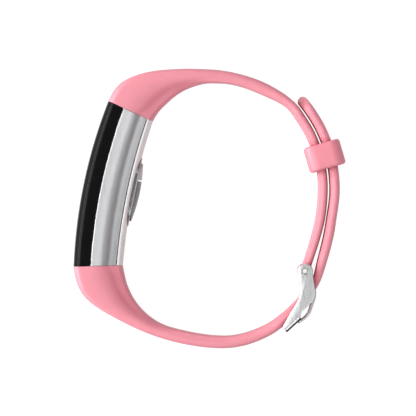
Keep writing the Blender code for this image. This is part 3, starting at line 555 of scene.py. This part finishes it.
def slab(name, outline, low, high, soften, materials=(), segments=4, place=None, angle=32,
         wider=None):
    """A plate of this outline between two heights, with rounded edges.

    wider gives, for each outline point, how many times further in its edge rounding reaches.
    """
    p = np.asarray(outline, float)
    n = outline_normals(p)
    if wider is not None:
        n = n * np.asarray(wider, float)[:, None]
    rings = [(low + soften * (1 - math.cos(math.pi / 2 * k / segments)),
              soften * (1 - math.sin(math.pi / 2 * k / segments))) for k in range(segments + 1)]
    upper = [(high - (h - low), inset) for h, inset in reversed(rings)]
    made = []
    for h, inset in rings + upper:
        q = p - n * inset
        made.append([(x, y, h) for x, y in q])
    if place:
        made = [place(ring) for ring in made]
    points, faces = loft(made)
    return piece(name, points, faces, materials, angle=angle)


def racetrack(middle, length, width, count=16):
    r = width / 2
    half = length / 2 - r
    return [(middle + side * (half + r * math.cos(-math.pi / 2 + math.pi * k / count)),
             side * r * math.sin(-math.pi / 2 + math.pi * k / count))
            for side in (1, -1) for k in range(count + 1)]


def onto_rear(ring):
    """A ring drawn in (along, across, height) put on the capsule's axes."""
    return [along_capsule(x, h, z) for x, z, h in ring]


def show(obj, body, slot, *nodes):
    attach(obj, body)
    if nodes:
        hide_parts(*nodes)
    return obj


# ---------------------------------------------------------------------- camera
bpy.context.scene.view_settings.view_transform = "Standard"
bpy.context.scene.view_settings.look = "None"

lens = bpy.data.cameras.new("camera")
lens.lens = 900.0
lens.sensor_width = 36.0
lens.clip_start, lens.clip_end = 0.1, 20.0
camera = bpy.data.objects.new("camera", lens)
camera.location = (SHIFT[0] * MM, (SHIFT[1] + 0.11) * MM, SHIFT[2] * MM + 2.6)
bpy.context.scene.collection.objects.link(camera)
bpy.context.scene.camera = camera


# --------------------------------------------------------------------- capsule
def capsule_shell(name, low, high, material, round_low, round_high, count=64):
    """A slab of the capsule between two depths, its outer edges softened."""
    outline = full_section(12.5, 3, 1.0)
    half = outline[outline[:, 1] >= 0]
    half = half[np.argsort(half[:, 0])]

    def width(u):
        return float(np.interp(u, half[:, 0], half[:, 1]))

    t_ref = 12.4
    side = []
    if low > 0:
        r = round_low
        side += [(low, 0.0), (low, width(low) - 3 * r / HALF), (low, width(low) - r / HALF),
                 (low + 0.12 * r / t_ref, width(low) - 0.42 * r / HALF),
                 (low + 0.42 * r / t_ref, width(low) - 0.12 * r / HALF),
                 (low + r / t_ref, width(low + r / t_ref))]
        start = low + r / t_ref
    else:
        start = -1.0
    end = high - round_high / t_ref if high < 1 else 2.0
    side += [(u, w) for u, w in half if start < u < end]
    if high < 1:
        r = round_high
        side += [(high - r / t_ref, width(high - r / t_ref)),
                 (high - 0.42 * r / t_ref, width(high) - 0.12 * r / HALF),
                 (high - 0.12 * r / t_ref, width(high) - 0.42 * r / HALF),
                 (high, width(high) - r / HALF), (high, width(high) - 3 * r / HALF), (high, 0.0)]
    dense = [side[0]]
    for p, q in zip(side, side[1:]):
        parts = max(int(math.ceil((q[0] - p[0]) / 0.018)), 1)
        dense += [(p[0] + (q[0] - p[0]) * i / parts, p[1] + (q[1] - p[1]) * i / parts)
                  for i in range(1, parts + 1)]
    side = dense
    first = 1 if side[0][1] == 0 else 0
    last = len(side) - 1 if side[-1][1] == 0 else len(side)
    ring = side + [(u, -w) for u, w in reversed(side[first:last])]
    rings = []
    for k in range(count + 1):
        outer, inner = capsule_station(k / count)
        rings.append(section_ring(outer, inner, HALF, ring))
    points, faces = loft(rings)
    return piece(name, points, faces, [material])


def cavity(low, high, f0, f1, inset, count=16):
    rings = []
    for k in range(count + 1):
        outer, inner = capsule_station(f0 + (f1 - f0) * k / count)
        a, b = outer + (inner - outer) * low, outer + (inner - outer) * high
        rings.append([(*a, inset[0]), (*b, inset[1]), (*b, -inset[1]), (*a, -inset[0])])
    points, faces = loft(rings)
    return piece("cavity", points, faces, [])


def local_box(x, y, z):
    ring = [(x[0], y[0]), (x[1], y[0]), (x[1], y[1]), (x[0], y[1])]
    points, faces = loft([capsule_points([(a, b, h) for a, b in ring]) for h in z])
    return piece("box", points, faces, [])


def pod_prism(length, width, low, high, middle=POD_MIDDLE, across_at=0.0, count=16):
    outline = racetrack(middle, length, width, count)
    rings = [onto_rear([(x, z + across_at, h) for x, z in outline]) for h in (low, high)]
    points, faces = loft(rings)
    return piece("pod_prism", points, faces, [])


black = black_cover_material()
window_dark = window_material()

front = capsule_shell("front_cover_fine", 0.0, COVER_TO, black, 0.1, 0.10)
carve(front, [cavity(0.105, COVER_TO + 0.06, 0.035, 0.965, (8.3, 8.5))])
show(front, "band", "cover_black", "front_cover")

housing = capsule_shell("housing_frame_fine", FRAME_FROM, FRAME_TO, silver, 0.14, 0.12)
carve(housing, [cavity(FRAME_FROM - 0.06, FRAME_TO + 0.06, 0.035, 0.965, (8.65, 6.75)),
                local_box((14.6, 24.8), (-1.5, 0.6), (-4.8, 4.8)),
                local_box((-24.8, -14.6), (-1.5, 0.6), (-4.8, 4.8))])
show(housing, "band", "housing_silver", "housing_frame")

rear = capsule_shell("rear_cover_fine", REAR_FROM, 1.0, white, 0.14, 0.1)
SCREW_X, SCREW_Z, PAD_X, PAD_Z = -16.2, 4.6, -13.0, 3.9
cutters = [cavity(REAR_FROM - 0.05, 0.915, 0.215, 0.785, (5.3, 5.3)),
           pod_prism(POD_LENGTH - 0.97, POD_WIDTH - 0.97, -9.1, 1.9, POD_MIDDLE + 0.003)]
for side in (1, -1):
    cutters.append(pod_prism(2.64, 1.44, -9, 2, PAD_X, side * PAD_Z, 10))
    cutters.append(rod("screw_hole", (SCREW_X, -5, side * SCREW_Z), 0.74, 6, 40, "Y", True))
carve(rear, cutters, angle=28)
show(rear, "band", "rear_cover_light", "rear_cover")

# pod: polished wall with a light rim, then the cap and window
outer_wall = np.array(racetrack(POD_MIDDLE, POD_LENGTH - 1.6, POD_WIDTH - 1.6, 28))
wall_normals = outline_normals(outer_wall)
bezel_levels = [(-3.2, 0.0), (-4.9, 0.0), (POD_RIM + 0.22, 0.0), (POD_RIM + 0.14, 0.02),
                (POD_RIM + 0.05, 0.09), (POD_RIM, 0.22), (POD_RIM - 0.02, 0.45), (POD_RIM, 0.62),
                (POD_RIM + 0.08, 0.74), (POD_RIM + 0.2, 0.80), (-3.2, 0.80)]
rings = []
for h, inset in bezel_levels:
    q = outer_wall - wall_normals * inset
    rings.append(onto_rear([(x, z, h) for x, z in q]))
points, faces = loft(rings, closed=True)
n = len(outer_wall)
picks = [1 if 2 <= (i // n) <= 8 else 0 for i in range(len(faces))]
bezel = piece("sensor_bezel_fine", points, faces, [bezel_grey, cap_white], picks, 40)
show(bezel, "band", "sensor_bezel_grey", "sensor_bezel")


def dome(name, x0, x1, material, rows=56, columns=40):
    """The crowned face of the pod between two places along it, its edge rolled over."""
    length, width = POD_LENGTH - 3.8, POD_WIDTH - 3.8
    r, half = width / 2, length / 2
    grid = []
    for i in range(rows + 1):
        x = x0 + (x1 - x0) * i / rows
        over = max(abs(x - POD_MIDDLE) - (half - r), 0.0)
        reach = math.sqrt(max(r * r - over * over, 0.0))
        line = []
        for j in range(columns + 1):
            w = -reach * math.cos(math.pi * j / columns)
            k = max(1 - (w / r) ** 2, 0)
            m = max(1 - ((x - POD_MIDDLE) / half) ** 2, 0)
            line.append((x, POD_RIM + (POD_CREST - POD_RIM) * k * (0.35 + 0.65 * m), w))
        grid.append(line)
    c = columns + 1
    points = [p for line in grid for p in line] + [(p[0], -4.5, p[2]) for line in grid for p in line]
    base = (rows + 1) * c
    faces = []
    for i in range(rows):
        for j in range(columns):
            a, b, d, e = i * c + j, i * c + j + 1, (i + 1) * c + j + 1, (i + 1) * c + j
            faces.append((a, b, d, e))
            faces.append((base + a, base + e, base + d, base + b))
        for j in (0, columns):
            a, e = i * c + j, (i + 1) * c + j
            faces.append((a, e, base + e, base + a))
    for i in (0, rows):
        for j in range(columns):
            a, b = i * c + j, i * c + j + 1
            faces.append((a, b, base + b, base + a))
    return piece(name, capsule_points(points), faces, [material])


window_length = POD_LENGTH - 3.8
window = dome("sensor_window_fine", POD_MIDDLE - window_length / 2 + 0.35, SPLIT - 0.15, window_dark)
show(window, "band", "sensor_window_dark", "sensor_window")
cap = dome("sensor_cap_fine", SPLIT + 0.15, POD_MIDDLE + window_length / 2 - 0.35, cap_white)
show(cap, "band", "rear_cover_light", "sensor_cap")

# contacts: taken from the CAD nodes' own tops, with rounded rims
for number, side in ((1, 1), (2, -1)):
    top = -5.1406
    outline = racetrack(PAD_X, 2.4, 1.2, 12)
    levels = [(-2.7, 0.0), (top + 0.12, 0.0), (top + 0.03, 0.04), (top, 0.12)]
    normals = outline_normals(outline)
    rings = [onto_rear([(x, z + side * PAD_Z, h) for x, z in np.array(outline) - normals * inset])
             for h, inset in levels]
    points, faces = loft(rings)
    pad = piece("charging_contact_%d_fine" % number, points, faces, [gold])
    show(pad, "band", "contact_gold", "charging_contact_%d" % number)


# ---------------------------------------------------------------------- straps
def upper_strap_piece():
    stations = UPPER_STATIONS + [polar(a, INNER_LAYER) for a in UPPER_ARC]
    stations += [across(*row) for row in UPPER_RUN_OUT]
    steps = np.linspace(0.04, len(stations) - 1, 200)
    rings, _, _, _ = strap_rings(stations, steps, 46.0)
    points, faces = loft(rings)
    made = piece("upper_strap_fine", points, faces, [pink])
    carve(made, [rod("eye", (*PIN, 0), EYE_RADIUS, STRAP_HALF - 0.1, 72, materials=[pink], soften=0.3)],
          "UNION")
    slot = bm_box_piece((24.9, -15.4, 0), (8.0, 5.4, TONGUE_HALF * 2 + 0.9))
    carve(made, [rod("bore", (*PIN, 0), EYE_BORE, 20, 48), slot,
                 local_box((14.6, 24.8), (-1.5, 0.6), (-4.8, 4.8))])
    return made


def bm_box_piece(centre, size):
    x, y, z = [(c - s / 2, c + s / 2) for c, s in zip(centre, size)]
    ring = [(x[0], y[0]), (x[1], y[0]), (x[1], y[1]), (x[0], y[1])]
    points, faces = loft([[(a, b, h) for a, b in ring] for h in z])
    return piece("box", points, faces, [])


def lower_strap_piece():
    stations = LOWER_STATIONS + [polar(a, OUTER_LAYER) for a in LOWER_ARC]
    steps = np.linspace(0.0286, len(stations) - 1, 230)
    rings, middle, run, depth = strap_rings(stations, steps, 52.0)
    reach_angle = LOWER_ARC[-1]
    middle_r = sum(OUTER_LAYER) / 2
    for k in range(1, 31):
        angle = reach_angle + (TAIL_END_ANGLE - reach_angle) * math.sin(k / 30 * math.pi / 2)
        left = (TAIL_END_ANGLE - angle) * math.pi / 180 * middle_r
        width = STRAP_HALF * math.sqrt(max(1 - ((4.4 - left) / 4.4) ** 2, 0.0)) \
            if left < 4.4 else STRAP_HALF
        thin = math.sqrt(max(1 - ((1.3 - left) / 1.3) ** 2, 0.0)) if left < 1.3 else 1.0
        thin, width = max(thin, 0.06), max(width, 0.5)
        half_t = (OUTER_LAYER[0] - OUTER_LAYER[1]) / 2 * thin
        outer, inner = polar(angle, (middle_r + half_t, middle_r - half_t))
        rings.append(section_ring(outer, inner, width, full_section(2.4)))
    points, faces = loft(rings)
    made = piece("lower_strap_fine", points, faces, [pink])

    def frame_at(distance):
        at = [np.interp(distance, run, middle[:, i]) for i in (0, 1)]
        ahead = [np.interp(distance + 0.6, run, middle[:, i]) for i in (0, 1)]
        back = [np.interp(distance - 0.6, run, middle[:, i]) for i in (0, 1)]
        return at[0], at[1], math.atan2(ahead[1] - back[1], ahead[0] - back[0]), \
            float(np.interp(distance, run, depth))

    cross = (25.95, -19.75)
    in_use = min(np.arange(20, run[-1], 0.05),
                 key=lambda d: math.hypot(frame_at(d)[0] - cross[0], frame_at(d)[1] - cross[1]))
    cutters = [local_box((-24.8, -14.6), (-1.5, 0.6), (-4.8, 4.8))]
    for k in range(-5, 6):
        x, y, heading, thick = frame_at(in_use + k * HOLE_PITCH)
        outline = np.array(racetrack(0, HOLE_IN_USE if k == 0 else HOLE_LENGTH, HOLE_WIDTH, 14))
        normals = outline_normals(outline)
        edge = thick / 2
        rings = []
        for h, out in ((-edge - 0.5, 0.75), (-edge + 0.03, 0.20), (-edge + 0.09, 0.09),
                       (-edge + 0.22, 0.0), (edge - 0.22, 0.0), (edge - 0.09, 0.09),
                       (edge - 0.03, 0.20), (edge + 0.5, 0.75)):
            q = outline + normals * out
            c, s = math.cos(heading), math.sin(heading)
            rings.append([(x + a * c - h * s, y + a * s + h * c, b) for a, b in q])
        points, faces = loft(rings)
        cutters.append(piece("hole", points, faces, []))
    return carve(made, cutters)


upper = upper_strap_piece()
show(upper, "band", "strap_elastomer", "upper_strap")
lower = lower_strap_piece()
show(lower, "band", "strap_elastomer", "lower_strap")


# ---------------------------------------------------------------------- keeper
def rounded_rectangle(half_x, half_z, r, per_corner=10, per_side=6):
    out = []
    corners = [(half_x - r, half_z - r, 0), (-half_x + r, half_z - r, 90),
               (-half_x + r, -half_z + r, 180), (half_x - r, -half_z + r, 270)]
    for k, (cx, cz, start) in enumerate(corners):
        for i in range(per_corner + 1):
            a = math.radians(start + 90 * i / per_corner)
            out.append((cx + r * math.cos(a), cz + r * math.sin(a)))
        nx, nz, ns = corners[(k + 1) % 4]
        last = out[-1]
        a = math.radians(ns)
        ahead = (nx + r * math.cos(a), nz + r * math.sin(a))
        for i in range(1, per_side):
            f = i / per_side
            out.append((last[0] + (ahead[0] - last[0]) * f, last[1] + (ahead[1] - last[1]) * f))
    return out


def keeper_piece():
    turn = math.radians(KEEPER_TILT)
    c, s = math.cos(turn), math.sin(turn)
    half_length = KEEPER_LENGTH / 2
    soft, mouth = 0.75, 0.35
    loops = [(-half_length + soft * (1 - math.cos(math.pi / 2 * k / 6)),
              soft * (1 - math.sin(math.pi / 2 * k / 6)), True) for k in range(7)]
    loops += [(-h, inset, True) for h, inset, _ in reversed(loops)]
    inside = [(half_length - mouth * (1 - math.cos(math.pi / 2 * k / 4)),
               mouth * (1 - math.sin(math.pi / 2 * k / 4)), False) for k in range(5)]
    loops += inside + [(-h, inset, False) for h, inset, _ in reversed(inside)]
    rings = []
    for y, inset, outside in loops:
        if outside:
            outline = rounded_rectangle(KEEPER_DEPTH / 2 - inset, HALF - inset, 2.6 - inset)
        else:
            outline = rounded_rectangle(6.95 / 2 + inset, STRAP_HALF + 0.35 + inset, 0.5 + inset)
        rings.append([(KEEPER_CENTRE[0] + x * c - y * s, KEEPER_CENTRE[1] + x * s + y * c, z)
                      for x, z in outline])
    points, faces = loft(rings, closed=True)
    return piece("keeper_loop_fine", points, faces, [pink_keeper], angle=50)


keeper = keeper_piece()
show(keeper, "keeper", "keeper_elastomer", "keeper_loop")


# ---------------------------------------------------------------------- buckle
def buckle_piece():
    top = [(PIN[0] + ARM_TOP_RADIUS * math.cos(math.radians(a)),
            PIN[1] + ARM_TOP_RADIUS * math.sin(math.radians(a)) - 0.02) for a in range(0, 181, 8)]
    run = np.array((23.33 - 19.60, -27.50 + 30.95))
    run /= np.hypot(*run)
    out = np.array((run[1], -run[0]))
    body = list(ARM_OUTLINE)
    # the face plate, coloured near-black as a painted dark reflection, lies against this edge
    body[7] = tuple(np.array(body[7]) - out * 0.36)
    body[8] = tuple(np.array(body[8]) - out * 0.36)
    soft_a = corner_cut([(PIN[0] - 1.88, PIN[1] - 0.4)] + body[:7], 2, False)
    soft_b = corner_cut(body[8:] + [(PIN[0] + 1.88, PIN[1] - 0.6)], 2, False)

    def rounded(p, q, r, radius=0.50, count=7):
        p, q, r = map(np.array, (p, q, r))
        a = q + (p - q) / np.hypot(*(p - q)) * radius
        b = q + (r - q) / np.hypot(*(r - q)) * radius
        return [tuple((1 - t) ** 2 * a + 2 * t * (1 - t) * q + t * t * b)
                for t in np.linspace(0, 1, count)]

    # the three sharp corners get a small radius of their own
    soft_a = [tuple(p) for p in soft_a if math.dist(p, body[6]) > 0.62]
    soft_b = [tuple(p) for p in soft_b if math.dist(p, body[8]) > 0.62]
    outline = soft_a + rounded(soft_a[-1], body[6], body[7])
    outline += rounded(body[6], body[7], body[8])
    outline += rounded(body[7], body[8], soft_b[0])
    outline += soft_b[:-1] + top
    a, b = np.array(body[7]), np.array(body[8])
    reach = [abs(float(np.dot(np.array(p) - a, out))) for p in outline]
    wider = [1.0 + 2.4 * eased(max(0.0, 1 - d / 0.20)) for d in reach]
    frame_mesh = slab("buckle_frame_fine", outline, ARM_INNER, ARM_OUTER, 0.20, [steel], wider=wider)
    far = slab("far", outline, -ARM_OUTER, -ARM_INNER, 0.20, [steel], wider=wider)
    bar_outline = corner_cut([(18.75, -29.85), (19.33, -30.60), (19.42, -30.64), (22.95, -27.38),
                              (22.96, -27.28), (22.40, -26.66)], 2)
    bar = slab("bar", bar_outline, -ARM_INNER - 0.6, ARM_INNER + 0.6, 0.02, [steel])
    carve(frame_mesh, [bar, far], "UNION")
    rest = rest_box()
    carve(frame_mesh, [rod("pin_hole", (*PIN, 0), PIN_RADIUS + 0.02, 15, 48), rest], angle=30)
    # face plate of the crossbar, its near-black colour a painted dark reflection
    a, b = np.array((19.60, -30.95)) + run * 0.06, np.array((23.33, -27.50)) - run * 0.02
    edge = [tuple(a - out * 0.33), tuple(a), tuple(b), tuple(b - out * 0.33)]
    mid = [tuple(np.array(p) * 0.5 + np.array(q) * 0.5) for p, q in zip(edge, edge[1:] + edge[:1])]
    plate = slab("buckle_painted_reflection_plate", corner_cut([p for pair in zip(edge, mid) for p in pair], 2),
                 -HALF + 0.01, HALF - 0.01, 0.10, [painted_reflection_steel])
    carve(plate, [rest_box()], angle=30)
    return frame_mesh, plate


def rest_box():
    turn = math.atan2(3.33, 3.60)
    c, s = math.cos(turn), math.sin(turn)
    ring = []
    for a, b in ((-2.2, -0.5), (2.2, -0.5), (2.2, 0.5), (-2.2, 0.5)):
        ring.append((22.05 + a * c - b * s, -28.90 + a * s + b * c))
    half = TONGUE_HALF + 0.35
    points, faces = loft([[(x, y, z) for x, y in ring] for z in (-half, half)])
    return piece("rest", points, faces, [])


buckle, painted_reflection_plate = buckle_piece()
show(buckle, "buckle", "buckle_steel", "buckle_frame")
show(painted_reflection_plate, "buckle", "buckle_steel")

pin_rings = []
pin_half = ARM_OUTER - 0.15
for z, r in ((-pin_half + 0.12, PIN_RADIUS), (pin_half - 0.12, PIN_RADIUS),
             (pin_half - 0.03, PIN_RADIUS - 0.04), (pin_half, PIN_RADIUS - 0.09),
             (pin_half, PIN_BORE + 0.07), (pin_half - 0.03, PIN_BORE + 0.03), (pin_half - 0.12, PIN_BORE),
             (-pin_half + 0.12, PIN_BORE), (-pin_half + 0.03, PIN_BORE + 0.03), (-pin_half, PIN_BORE + 0.07),
             (-pin_half, PIN_RADIUS - 0.09), (-pin_half + 0.03, PIN_RADIUS - 0.04)):
    pin_rings.append([(PIN[0] + r * math.cos(2 * math.pi * k / 56),
                       PIN[1] + r * math.sin(2 * math.pi * k / 56), z) for k in range(56)])
points, faces = loft(pin_rings, closed=True)
pin = piece("buckle_pin_fine", points, faces, [steel], angle=40)
show(pin, "buckle", "buckle_steel", "buckle_pin")


def tongue_piece():
    count = 72
    fine = spline(TONGUE_LINE, np.linspace(0, len(TONGUE_LINE) - 1, count))
    slope = np.gradient(fine, axis=0)
    normal = np.stack([-slope[:, 1], slope[:, 0]], 1) / np.hypot(*slope.T)[:, None]
    where = np.linspace(0, 1, count)
    thick = np.interp(where, [0, 0.15, 0.5, 0.85, 0.97, 1.0], [0.48, 0.42, 0.46, 0.42, 0.29, 0.22])
    wide = np.interp(where, [0, 0.93, 0.975, 1.0], [TONGUE_HALF, TONGUE_HALF, 0.86, 0.62])
    rings = []
    for p, nrm, t, w in zip(fine, normal, thick, wide):
        outline = rounded_rectangle(t, w, min(0.26, t * 0.7), 5, 3)
        rings.append([(p[0] + nrm[0] * a, p[1] + nrm[1] * a, z) for a, z in outline])
    points, faces = loft(rings)
    made = piece("buckle_tongue_fine", points, faces, [steel], angle=40)
    carve(made, [rod("tongue_eye", (*PIN, 0), TONGUE_EYE_RADIUS, TONGUE_HALF, 64,
                     materials=[steel], soften=0.15)], "UNION", 40)
    return carve(made, [rod("tongue_bore", (*PIN, 0), PIN_RADIUS + 0.10, 4.5, 48)], angle=40)


tongue = tongue_piece()
show(tongue, "tongue", "buckle_steel", "buckle_tongue")

# ---------------------------------------------------- CAD nodes that stay shown
FINISH = {
    "cover_gasket": gasket, "rear_cover_seal": gasket, "display_panel": glass_dark,
    "display_flex": amber, "touch_key_electrode": gold, "sensor_board": board,
    "green_led_1": green, "green_led_2": green, "photodiode": chip, "main_board": board,
    "processor_chip": chip, "radio_shield_can": tin, "accelerometer_chip": chip,
    "antenna_strip": gold, "battery": foil, "battery_foam": foam, "motor_case": tin,
    "motor_shaft": tin, "motor_weight": tin, "rear_cover_screw_1": tin,
    "rear_cover_screw_2": tin, "upper_strap_insert": nylon, "lower_strap_insert": nylon,
    "upper_insert_screw": tin, "lower_insert_screw": tin}
for name, finish in FINISH.items():
    node = NODES[name]
    node.data.materials.clear()
    node.data.materials.append(finish)

# ---------------------------------------------------------------------- studio
floor_mesh = bpy.data.meshes.new("floor")
bm = bmesh.new()
bmesh.ops.create_circle(bm, cap_ends=True, segments=96, radius=3.0)
bm.to_mesh(floor_mesh)
bm.free()
floor = bpy.data.objects.new("floor", floor_mesh)
floor.location = (0, 0, -0.00002)
bpy.context.scene.collection.objects.link(floor)
paper = bpy.data.materials.new("floor_paper")
paper.use_nodes = True
tree = paper.node_tree
bsdf = tree.nodes["Principled BSDF"]
tone = mix(tree, ranged(tree, noise(tree, 30, 2, 0.5), 0, 1), (0.24, 0.24, 0.24), (0.25, 0.25, 0.25))
tree.links.new(tone, bsdf.inputs["Base Color"])
put(bsdf, Roughness=0.9, Specular_IOR_Level=0.1)
bsdf.inputs["Emission Color"].default_value = (1, 1, 1, 1)
glow = add(tree, "ShaderNodeMapRange", {
    "Value": add(tree, "ShaderNodeLightPath").outputs["Is Camera Ray"],
    "To Min": 0.50, "To Max": 0.90})
tree.links.new(glow.outputs["Result"], bsdf.inputs["Emission Strength"])
floor_mesh.materials.append(paper)

world_data = bpy.data.worlds.new("studio")
bpy.context.scene.world = world_data
world_data.use_nodes = True
tree = world_data.node_tree
back = tree.nodes["Background"]
path = tree.nodes.new("ShaderNodeLightPath")
lit = tree.nodes.new("ShaderNodeMapRange")
lit.inputs["To Min"].default_value = 0.27
lit.inputs["To Max"].default_value = 1.0
tree.links.new(path.outputs["Is Camera Ray"], lit.inputs["Value"])
tree.links.new(lit.outputs["Result"], back.inputs["Strength"])
back.inputs["Color"].default_value = (1, 1, 1, 1)


def softbox(name, place, size, radiance, aim=(0, 0, 0.01)):
    """A soft light. size is (across, along the world's Y)."""
    light = bpy.data.lights.new(name, "AREA")
    light.shape = "RECTANGLE"
    light.size, light.size_y = size
    light.energy = radiance * size[0] * size[1] * 4.0
    made = bpy.data.objects.new(name, light)
    z = (Vector(place) - Vector(aim)).normalized()
    y = (Vector((0, 1, 0)) - z * z.y).normalized()
    x = y.cross(z)
    made.matrix_world = Matrix((
        (x.x, y.x, z.x, place[0]), (x.y, y.y, z.y, place[1]),
        (x.z, y.z, z.z, place[2]), (0, 0, 0, 1)))
    made.visible_camera = False
    bpy.context.scene.collection.objects.link(made)
    return made


softbox("key_left", (-1.15, 0.10, 0.42), (0.8, 1.4), 2.8)
softbox("low_left", (-1.25, 0.10, 0.20), (0.24, 1.4), 8.0)
softbox("over_left", (-0.50, 0.0, 1.20), (0.66, 1.5), 2.3)
softbox("over_right", (0.46, 0.0, 1.25), (0.46, 1.5), 0.72)
softbox("over_far", (0.0, 0.95, 1.0), (0.34, 0.6), 1.8)
softbox("over_near", (0.0, -0.95, 1.0), (0.34, 0.6), 2.0)
softbox("arm_glint", (0.52, -0.48, 1.09), (0.30, 0.30), 3.0)
